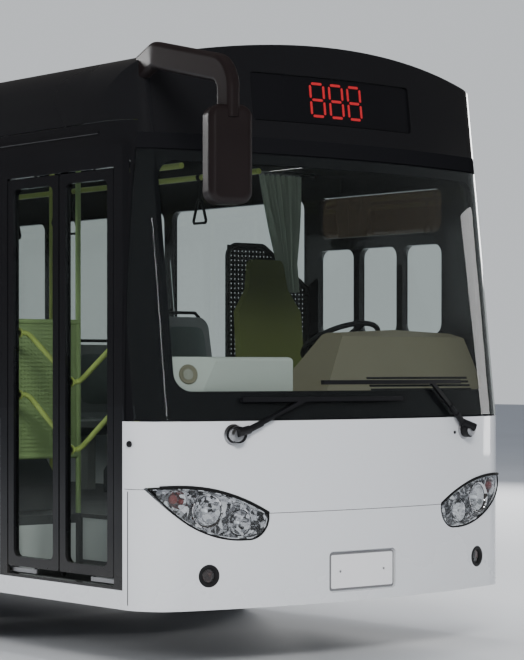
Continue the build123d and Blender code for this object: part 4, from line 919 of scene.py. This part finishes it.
# %% [markdown]
# The curtain beside the driver hangs gathered on a rail: it is cut over twice as wide as it hangs, so it falls
# in folds that are shallow at the rail and deeper further down. We start from a flat grid, fold it into waves
# with sine curves whose depth grows downwards, draw it together towards its foot as the photograph shows, and
# give it a cloth's thickness.

# %% Curtain
CURTAIN_TOP, CURTAIN_FOOT = 2.692, 1.985
HUNG_WIDTH, RAIL_Y, RAIL_Z = 0.33, FRONT_Y + 1.80, 2.702
shape = bmesh.new()
bmesh.ops.create_grid(shape, x_segments=120, y_segments=36, size=0.5)
flat_map = shape.loops.layers.uv.new("cloth")
for face in shape.faces:
    for loop in face.loops:
        loop[flat_map].uv = (loop.vert.co.x + 0.5, loop.vert.co.y + 0.5)
for vert in shape.verts:
    along, down = vert.co.x + 0.5, 0.5 - vert.co.y
    pull = 1 - 0.58 * min(1.0, down / 0.75) ** 1.2
    middle = 0.93 + 0.065 * down
    fold = 0.012 + 0.017 * min(1.0, down * 2.2)
    wave = sin(2 * pi * (8.0 * along + 0.25 * sin(3.1 * along))) + 0.25 * sin(2 * pi * 19 * along + 1.0)
    vert.co = (middle + (along - 0.5) * HUNG_WIDTH * pull, RAIL_Y + fold * 0.8 * wave,
               CURTAIN_TOP - (CURTAIN_TOP - CURTAIN_FOOT) * down)
bmesh.ops.solidify(shape, geom=shape.faces, thickness=0.0016)
curtain = as_piece("driver_curtain", shape, cloth)
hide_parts("curtain")

rail = bmesh.new()
add_tube(rail, [(0.762, RAIL_Y, RAIL_Z), (1.198, RAIL_Y, RAIL_Z)], 0.009, 12)
for hook in range(9):
    add_disc(rail, (0.775 + hook * 0.038, RAIL_Y, RAIL_Z - 0.007), LEFT, 0.013, 0.004, 16)
as_piece("curtain_rail", rail, steel)

# %% [markdown]
# The upper pane of the driver's window is smoked brown against the low sun. A film of tinted glass just inside
# the clear pane gives it that colour without touching the solid. The row of panes beside it stays clear.

# %% Smoked film
smoked = pane("smoked_film", (0.055, 0.038, 0.026), rough=0.02)
shape = bmesh.new()
rounded_plate(shape, (SIDE_X - 0.0155, FRONT_Y + 1.225, 2.435), LEFT, 1.084, 0.244, 0.001, 0.055)
as_piece("smoked_film", shape, smoked, smooth=False)
print("smoked film ready")

# %% [markdown]
# Each passenger seat is a hard moulded shell with thin cushions glued into its pan and its back. A pad starts
# as a flat grid: its middle swells, its rim stays low, and a skirt below the rim closes it.

# %% Seat places and the pad
pad_cloth = finish("seat_pad_cloth", (0.14, 0.16, 0.15), 0.9, drift=(0.15, 25.0), grain=(0.7, 380.0))
SEAT_COLUMNS = (0.51, 0.96)
# middle x, y and z of each seat, its width and the height of its back
seat_places = [(sign * x, FRONT_Y + 3.55 + row * 0.74, 1.12, 0.42, 0.56)
               for sign, rows in ((1, 5), (-1, 2)) for row in range(rows) for x in SEAT_COLUMNS]
seat_places += [(-x, FRONT_Y + 6.35, 1.12, 0.42, 0.56) for x in SEAT_COLUMNS]
seat_places += [(sign * 0.93, y, 1.37, 0.40, 0.48) for sign in (-1, 1) for y in (-2.45, 2.48, 3.07)]
seat_places += [(-0.90 + 0.45 * place, REAR_Y - 0.70, 1.48, 0.42, 0.62) for place in range(5)]


def verts_in(geometry):
    """The vertices among mixed geometry that an operator returns."""
    return [item for item in geometry if isinstance(item, bmesh.types.BMVert)]


def add_pad(shape, middle, up, facing, width, height, thick):
    """Soft pad with a crowned top, its rim pulled down to the shell."""
    turn = Matrix((LEFT, up, facing)).transposed().to_4x4()
    made = bmesh.ops.create_grid(shape, x_segments=8, y_segments=8, size=0.5)["verts"]
    faces = list({f for v in made for f in v.link_faces})
    for vert in made:
        u, v = vert.co.x * 2, vert.co.y * 2
        rise = (1 - u ** 4) * (1 - v ** 4)
        vert.co.x = 0.5 * u * (1 - 0.10 * v ** 4)
        vert.co.y = 0.5 * v * (1 - 0.10 * u ** 4)
        vert.co.z = rise
    place = Matrix.Translation(middle) @ turn @ Matrix.Diagonal((width, height, thick, 1))
    rim = [e for e in {e for f in faces for e in f.edges} if e.is_boundary]
    under = bmesh.ops.extrude_edge_only(shape, edges=rim)["geom"]
    skirt = verts_in(under)
    for vert in skirt:
        vert.co.z = -0.25
    bmesh.ops.contextual_create(shape, geom=[e for e in under if isinstance(e, bmesh.types.BMEdge)])
    bmesh.ops.transform(shape, matrix=place, verts=made + skirt)


print("seats:", len(seat_places))

# %% [markdown]
# Every seat gets a pad in its pan and one on its back, which leans. A black hoop at the top of the backrest
# gives standing passengers something to hold.

# %% Seat pads and hoops
pads = bmesh.new()
hoops = bmesh.new()
for x, y, z, width, back in seat_places:
    add_pad(pads, (x, y - 0.03, z + 0.066), (0, 1, -0.03), (0, 0.03, 1), width - 0.09, 0.27, 0.020)
    lean = Vector((0, 0.07, back - 0.105)).normalized()
    face = Vector((0, -lean.z, lean.y))
    add_pad(pads, (x, y + 0.205, z + 0.10 + (back - 0.10) * 0.5), lean, face, width - 0.10, back - 0.22, 0.018)
    top = Vector((x, y + 0.266, z + back - 0.05))
    half = width / 2 - 0.055
    bend = half - 0.03
    add_tube(hoops, [top + Vector(step) for step in ((-half, 0, 0), (-half, 0.004, 0.05), (-bend, 0.006, 0.078),
                                                     (bend, 0.006, 0.078), (half, 0.004, 0.05), (half, 0, 0))],
             0.011, 10)
seat_pads = as_piece("seat_pads", pads, pad_cloth)
as_piece("seat_hoops", hoops, black_trim)
print("seats dressed:", len(seat_places))

# %% [markdown]
# A tyre starts as a profile that is turned about the axle: bead, bulging sidewall with two raised rings, and a
# tread cut by four deep grooves. Bus tyres also have cross cuts on their shoulders, so each shoulder gets a
# ring of blocks that end just inside the tyre's own radius.

# %% One tyre
TYRE_R, RIM_R, HUB_Z = 0.478, 0.286, 0.478
FRONT_AXLE_Y, REAR_AXLE_Y = FRONT_Y + 2.55, FRONT_Y + 7.75
SHOULDER_BLOCKS = 54


def tyre_outline():
    """Closed section of the tyre as (radius, distance along the axle)."""
    wall = [(RIM_R, 0.108), (0.298, 0.122), (0.325, 0.133), (0.376, 0.1375), (0.398, 0.1365), (0.400, 0.138),
            (0.405, 0.138), (0.407, 0.1355), (0.424, 0.131), (0.426, 0.1325), (0.430, 0.1315), (0.432, 0.128),
            (0.452, 0.119), (0.464, 0.110), (0.469, 0.104)]
    ribs = [(0.469, 0.070), (TYRE_R, 0.069)]
    for groove in (0.062, 0.022):
        ribs += [(TYRE_R, groove + 0.0045), (0.464, groove + 0.003),
                 (0.464, groove - 0.003), (TYRE_R, groove - 0.0045)]
    half = wall + ribs
    return half + [(radius, -along) for radius, along in reversed(half)] + [half[0]]


def add_tyre(shape, x, y):
    """One tyre round the axle at x, y, with its shoulder blocks."""
    add_turned(shape, tyre_outline(), (x, y, HUB_Z), LEFT, steps=72)
    for side in (-1, 1):
        for block in range(SHOULDER_BLOCKS):
            turn = Matrix.Rotation(2 * pi * block / SHOULDER_BLOCKS, 4, "X")
            place = Matrix.Translation((x, y, HUB_Z)) @ turn @ Matrix.Translation((side * 0.0875, 0, 0.470))
            made = add_cube(shape, Matrix.Diagonal((0.034, 0.040, 0.015, 1)))
            for vert in made:
                if vert.co.z > 0 and vert.co.x * side > 0:
                    vert.co.x -= side * 0.006
                    vert.co.z -= 0.002
            bmesh.ops.transform(shape, matrix=place, verts=made)


print("points in the tyre's section:", len(tyre_outline()))

# %% [markdown]
# The front axle carries one tyre a side and the rear axle twins, which turn together. The turned tyres stand
# in for the plain solid ones.

# %% Tyres
# end of the bus, tyre node, wheel body, axle's place along the bus, middles of its tyres
AXLES = [("front", "tyre_front", "wheel_front", FRONT_AXLE_Y, [1.055]),
         ("rear", "tyres_rear", "wheels_rear", REAR_AXLE_Y, [0.760, 1.072])]
SIDES = [("left", 1), ("right", -1)]
for _, node, body, y, places in AXLES:
    for side, sign in SIDES:
        shape = bmesh.new()
        for x in places:
            add_tyre(shape, sign * x, y)
        tyre = as_piece(f"grooved_{node}_{side}", shape, rubber, body=f"{body}_{side}")
        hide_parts(f"{node}_{side}")
print("tyres:", 2 * sum(len(places) for *_, places in AXLES))

# %% [markdown]
# Each wheel is held by ten nuts on a circle, and its tyre is filled through a small valve. On the twin wheels
# the nuts sit deep in the outer rim. A nut is a six-sided prism with a washer under it.

# %% Wheel nuts and valves
NUT_CIRCLE = 0.150
NUT_FACE = {"front": 1.055 + 0.0555, "rear": 0.916 + 0.012}
# washer, nut and stud: middle ahead of the rim's face, radius, depth, sides, rounded edge
NUT_PARTS = [(0.002, 0.020, 0.008, 20, 0.001), (0.016, 0.0165, 0.026, 6, 0.002), (0.024, 0.010, 0.026, 12, 0.002)]
for side, sign in SIDES:
    for end, _, body, y, _ in AXLES:
        nuts = bmesh.new()
        face = NUT_FACE[end]
        for nut in range(10):
            turn = 2 * pi * (nut + 0.5) / 10
            spot = (y + NUT_CIRCLE * cos(turn), HUB_Z + NUT_CIRCLE * sin(turn))
            for ahead, *sizes in NUT_PARTS:
                add_disc(nuts, (sign * (face + ahead), *spot), LEFT, *sizes)
        foot = Vector((sign * (face + 0.01), y, HUB_Z + 0.225))
        out = LEFT * sign
        add_tube(nuts, [foot - out * 0.03 + UP * 0.03, foot, foot + out * 0.035 - UP * 0.02], 0.005, 10)
        as_piece(f"wheel_nuts_{end}_{side}", nuts, steel, body=f"{body}_{side}")
print("nuts and valves on 4 hubs")

# %% [markdown]
# The cab is what one sees through the windscreen. The hood in front of the driver gets its dials, a row of
# rocker switches, and slots that blow air at the glass. The dials are plain discs with a dark rim and a
# needle, without any lettering.

# %% Dials, switches and air slots
dial_white = finish("dial_white", (0.62, 0.63, 0.62), 0.4, drift=(0.05, 30.0))
DIALS_Z, SWITCHES_Z, SWITCH_STEP = 1.64, 1.62, 0.045
SLOTS_Y, SLOT_STEP = FRONT_Y + 0.30, 0.012
dials = bmesh.new()
dial_rims = bmesh.new()
switches = bmesh.new()
grilles = bmesh.new()
for place_x, radius in ((0.585, 0.045), (0.70, 0.058), (0.815, 0.045)):
    foot, normal = hit("dashboard", (place_x, FRONT_Y + 1.6, DIALS_Z), -BACK)
    add_disc(dials, foot + normal * 0.002, normal, radius, 0.006, 32)
    add_disc(dials, foot + normal * 0.004, normal, radius * 0.12, 0.008, 16)
    add_turned(dial_rims, [(radius - 0.002, 0.0), (radius - 0.001, 0.010), (radius + 0.004, 0.012),
                           (radius + 0.008, 0.008), (radius + 0.009, -0.002)], foot, normal, steps=32)
    needle = foot + normal * 0.007
    up = Vector((0.5, 0, 0.8)).normalized()
    add_tube(dial_rims, [needle, needle + up * radius * 0.75], 0.0016, 6)
for column in range(8):
    x = (0.40 if column < 3 else 0.785) + column * SWITCH_STEP
    foot, _ = hit("dashboard", (x, FRONT_Y + 1.6, SWITCHES_Z), -BACK)
    add_box(switches, foot - Vector((0.015, 0.004, 0.024)), foot + Vector((0.015, 0.006, 0.024)), edge=0.003)
for row in range(5):
    for x0, x1 in ((-0.62, -0.10), (0.33, 1.08)):
        y = SLOTS_Y + row * SLOT_STEP
        top, _ = hit("dashboard", ((x0 + x1) / 2, y, 2.2), -UP)
        add_box(grilles, (x0, y - 0.003, top.z - 0.006), (x1, y + 0.002, top.z + 0.007), edge=0.001)
as_piece("dash_dials", dials, dial_white)
as_piece("dash_dial_rims", dial_rims, black_trim)
as_piece("dash_switches", switches, black_trim, smooth=False)
as_piece("dash_air_slots", grilles, black_trim, smooth=False)
print("dashboard pieces: 4")

# %% [markdown]
# The locker on the shelf carries a round speaker: a rim with three rings inside it. Rings of one section come
# back on the rear lamps and on the roof's fans, so they get a helper.

# %% Speaker
def add_rings(shape, count, pitch, profile, place, direction, steps=36):
    """Concentric rings of one profile, given as (offset from the ring's radius, height) points."""
    for ring in range(1, count + 1):
        outline = [(pitch * ring + offset, height) for offset, height in profile]
        add_turned(shape, outline, place, direction, steps)


speaker = bmesh.new()
foot, normal = front_hit("dash_box", -0.985, 1.49)
add_turned(speaker, [(0.030, 0.0), (0.036, 0.006), (0.046, 0.008), (0.050, 0.003), (0.051, -0.004)], foot, normal,
           steps=32)
wire = [(-0.0025, 0.0), (-0.002, 0.003), (0.002, 0.003), (0.0025, 0.0)]
add_rings(speaker, 3, 0.009, wire, foot, normal, steps=24)
as_piece("dash_speaker", speaker, dash_plastic)
print("speaker at", [round(value, 3) for value in foot])

# %% [markdown]
# Small parts tell a real bus from a block. At the rear, each of the six round lamps has a rubber rim, and its
# lens has stepped rings that spread the light.

# %% Rear lamps
REAR_LAMPS_Z = (0.820, 0.970, 1.120)


def rear_hit(name, x, z):
    """Hit on a solid by a line that comes from behind the bus."""
    return hit(name, (x, REAR_Y + 1, z), -BACK)


lamp_rims = bmesh.new()
lens_rings = bmesh.new()
for sign in (-1, 1):
    for z in REAR_LAMPS_Z:
        foot, normal = rear_hit("rear_lamps", sign * 1.010, z)
        add_turned(lamp_rims, [(0.060, -0.004), (0.061, 0.003), (0.066, 0.004), (0.071, 0.001), (0.072, -0.004)],
                   foot, normal, steps=36)
        add_rings(lens_rings, 5, 0.0105, [(-0.004, -0.001), (0.0, 0.0022), (0.004, -0.001)], foot, normal)
as_piece("rear_lamp_rims", lamp_rims, seal_rubber)
as_piece("rear_lens_rings", lens_rings, lens_red)
print("rear lamps:", 2 * len(REAR_LAMPS_Z))

# %% [markdown]
# The side skirts have service flaps with flush locks, and an amber lamp on each. A flap's seam is a very thin
# raised bead of dark sealant, so nothing has to be cut.

# %% Service flaps and side lamps
FLAP_FOOT, FLAP_TOP, FLAP_LOCK_Z = 0.375, 1.12, 0.45
# where each flap starts and ends, behind the front, on the left (1) and on the right (-1)
FLAPS = {1: [(0.62, 1.72), (3.45, 4.55), (4.65, 5.75), (5.85, 6.95), (8.55, 9.75)],
         -1: [(3.40, 4.70), (6.15, 7.00), (8.55, 9.75)]}
seams = bmesh.new()
flap_locks = bmesh.new()
side_lamps = bmesh.new()
for sign, runs in FLAPS.items():
    x = sign * SIDE_X
    for y0, y1 in runs:
        y0, y1 = FRONT_Y + y0, FRONT_Y + y1
        for ya, za, yb, zb in ((y0, FLAP_FOOT, y1, FLAP_FOOT), (y0, FLAP_TOP, y1, FLAP_TOP),
                               (y0, FLAP_FOOT, y0, FLAP_TOP), (y1, FLAP_FOOT, y1, FLAP_TOP)):
            add_box(seams, (x - 0.001, ya - 0.002, za - 0.002), (x + 0.001, yb + 0.002, zb + 0.002))
        for y in (y0 + 0.12, y1 - 0.12):
            add_disc(flap_locks, (x, y, FLAP_LOCK_Z), LEFT, 0.016, 0.006, 20, edge=0.001)
        middle = (y0 + y1) / 2
        add_box(side_lamps, (x - 0.004, middle - 0.045, 0.84), (x + 0.006, middle + 0.045, 0.875), edge=0.003)
as_piece("flap_seams", seams, seal_rubber, smooth=False)
as_piece("flap_locks", flap_locks, black_trim)
as_piece("side_lamps", side_lamps, lens_amber, smooth=False)
print("flaps:", sum(len(runs) for runs in FLAPS.values()))

# %% [markdown]
# The pod on the roof cools the saloon. Its six round fans sit under wire guards: rings with spokes across.

# %% Fan guards
fans = bmesh.new()
FAN_X, FANS_FROM, FAN_STEP = 0.36, FRONT_Y + 6.75, 0.80
wire = [(-0.003, -0.004), (-0.003, 0.003), (0.003, 0.003), (0.003, -0.004)]
pod_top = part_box("roof_unit")[1][2]
for row in range(3):
    y = FANS_FROM + row * FAN_STEP
    for x in (-FAN_X, FAN_X):
        foot = Vector((x, y, pod_top))
        add_rings(fans, 5, 0.043, wire, foot, UP, steps=40)
        for spoke in range(6):
            turn = Matrix.Translation(foot) @ Matrix.Rotation(pi * spoke / 6, 4, "Z")
            add_cube(fans, turn @ Matrix.Diagonal((0.44, 0.006, 0.006, 1)))
as_piece("pod_fan_guards", fans, black_trim, smooth=False)
print("pod top at", round(pod_top, 3), "m")

# %% [markdown]
# The ceiling is what the tall glass shows next: a pale lining and two rows of lamps under pale covers. The
# lining is an arched strip on each side that follows the roof's inside, made by pulling a curved line along
# the bus.

# %% Ceiling and lamps
LAMP_X, LAMP_LEN, LAMP_STEP, LAMPS_A_SIDE = 0.66, 0.95, 1.15, 7
lining = bmesh.new()
arch = [(-1.03, 2.905), (-0.85, 3.005), (-0.6, 3.068), (-0.41, 3.092)]
for sign in (-1, 1):
    line = [lining.verts.new((sign * x, FRONT_Y + 1.0, z)) for x, z in arch]
    edges = [lining.edges.new(pair) for pair in zip(line, line[1:])]
    pulled = bmesh.ops.extrude_edge_only(lining, edges=edges)["geom"]
    bmesh.ops.translate(lining, vec=BACK * (REAR_Y - FRONT_Y - 1.5), verts=verts_in(pulled))
bmesh.ops.recalc_face_normals(lining, faces=lining.faces)
bmesh.ops.solidify(lining, geom=lining.faces, thickness=0.004)
as_piece("ceiling_lining", lining, lining_grey)

lamp_cover = glow("ceiling_lamp_cover", (0.80, 0.84, 0.88), 0.25)
tubes = bmesh.new()
for sign in (-1, 1):
    for lamp in range(LAMPS_A_SIDE):
        x, y = sign * LAMP_X, FRONT_Y + 1.9 + lamp * LAMP_STEP
        add_box(tubes, (x - 0.07, y, 3.012), (x + 0.07, y + LAMP_LEN, 3.045), edge=0.012, segments=3)
as_piece("ceiling_lamps", tubes, lamp_cover)
print("ceiling lamps:", 2 * LAMPS_A_SIDE)

# %% [markdown]
# Grab handles hang on short straps from the two rails. The band goes round the rail and down, and the handle
# is a closed tube in the shape of a rounded triangle.

# %% Straps
STRAP_X, STRAP_RAIL_Z, STRAP_STEP, STRAPS_A_SIDE = 0.275, 2.64, 0.66, 12
# section of the band round the rail, and the handle's outline as (along the bus, height)
LOOP = [(0.0175, -0.014), (0.0205, -0.014), (0.0205, 0.014), (0.0175, 0.014), (0.0175, -0.014)]
HANDLE = [(-0.060, 2.385), (-0.052, 2.372), (0.052, 2.372), (0.060, 2.385), (0.022, 2.495), (0.012, 2.506),
          (-0.012, 2.506), (-0.022, 2.495), (-0.060, 2.385)]
straps = bmesh.new()
handles = bmesh.new()
for sign in (-1, 1):
    for strap in range(STRAPS_A_SIDE):
        x, y = sign * STRAP_X, FRONT_Y + 1.75 + strap * STRAP_STEP
        add_turned(straps, LOOP, (x, y, STRAP_RAIL_Z), BACK, steps=20)
        add_box(straps, (x - 0.002, y - 0.013, 2.50), (x + 0.002, y + 0.013, 2.622), edge=0.0008)
        ring = [(x, y + along, z) for along, z in HANDLE]
        add_tube(handles, ring, 0.0085, 8)
as_piece("strap_bands", straps, black_trim, smooth=False)
as_piece("strap_handles", handles, black_trim)
print("straps:", 2 * STRAPS_A_SIDE)

# %% [markdown]
# Two lids can open: the engine lid gets a pair of turn locks and a grip, the roof hatch a handle underneath.
# Both sets of trim ride on their own lid, so they move when it opens.

# %% Lids
lid_trim = bmesh.new()
for x in (-0.60, 0.60):
    foot, normal = rear_hit("engine_lid", x, 0.70)
    add_turned(lid_trim, [(0.0, 0.004), (0.018, 0.004), (0.021, 0.007), (0.027, 0.006), (0.030, -0.002)], foot,
               normal, steps=28)
    add_box(lid_trim, (x - 0.014, foot.y, 0.697), (x + 0.014, foot.y + 0.009, 0.703), edge=0.001)
foot, _ = rear_hit("engine_lid", 0, 0.665)
add_tube(lid_trim, [foot + Vector((-0.09, -0.004, 0)), foot + Vector((-0.085, 0.018, 0)),
                    foot + Vector((0.085, 0.018, 0)), foot + Vector((0.09, -0.004, 0))], 0.006, 10)
as_piece("engine_lid_trim", lid_trim, black_trim, body="engine_lid")

GRIP_BEHIND, GRIP_DROP = 0.2, 0.035
hatch_trim = bmesh.new()
low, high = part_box("roof_hatch")
grip_y, under = (low[1] + high[1]) / 2 + GRIP_BEHIND, high[2] - 0.016
add_tube(hatch_trim, [(-0.11, grip_y, under), (-0.10, grip_y, under - GRIP_DROP),
                      (0.10, grip_y, under - GRIP_DROP), (0.11, grip_y, under)], 0.007, 10)
as_piece("roof_hatch_handle", hatch_trim, rail_green, body="roof_hatch")
print("lids trimmed: 2")

# %% [markdown]
# The front bumper carries a plate. Ours is blank, in a dark grey rim, held by two small screws. The rim's
# dark grey is partly the holder's own colour and partly painted shadow along the plate's edges.

# %% Plate
PLATE_Z, PLATE_W, PLATE_H, RIM_W = 0.475, 0.424, 0.172, 0.010
foot, normal = front_hit("front_bumper", 0.0, PLATE_Z)
blank, plate_rim, plate_trim = bmesh.new(), bmesh.new(), bmesh.new()
rounded_plate(plate_rim, foot - BACK * 0.004, -BACK, PLATE_W + 2 * RIM_W, PLATE_H + 2 * RIM_W, 0.007, 0.014)
rounded_plate(blank, foot - BACK * 0.007, -BACK, PLATE_W, PLATE_H, 0.006, 0.009)
plate_white = finish("plate_white", (0.80, 0.79, 0.79), 0.35, drift=(0.02, 6.0))
# The rim's dark grey is partly a holder's colour and partly painted shadow round the plate's edges.
plate_rim_painted_shadow = finish("plate_rim_grey_painted_shadow", (0.16, 0.16, 0.165), 0.5, drift=(0.1, 9.0))
as_piece("blank_plate", blank, plate_white, smooth=False)
as_piece("blank_plate_rim", plate_rim, plate_rim_painted_shadow, smooth=False)
for x in (-0.150, 0.150):
    add_turned(plate_trim, [(0.0, 0.003), (0.004, 0.003), (0.0062, 0.0012), (0.0064, -0.001)],
               Vector((x, foot.y - 0.0100, PLATE_Z)), normal, steps=16)
as_piece("plate_screws", plate_trim, steel)
print("plate", PLATE_W, "by", PLATE_H, "m")

# %% [markdown]
# The dressed bus should be as big as its solids. The rims of the rear lamps stand out by two centimetres and
# the fan guards by three millimetres, and nothing else does.

# %% Count the pieces
print("pieces made:", len(pieces_made))
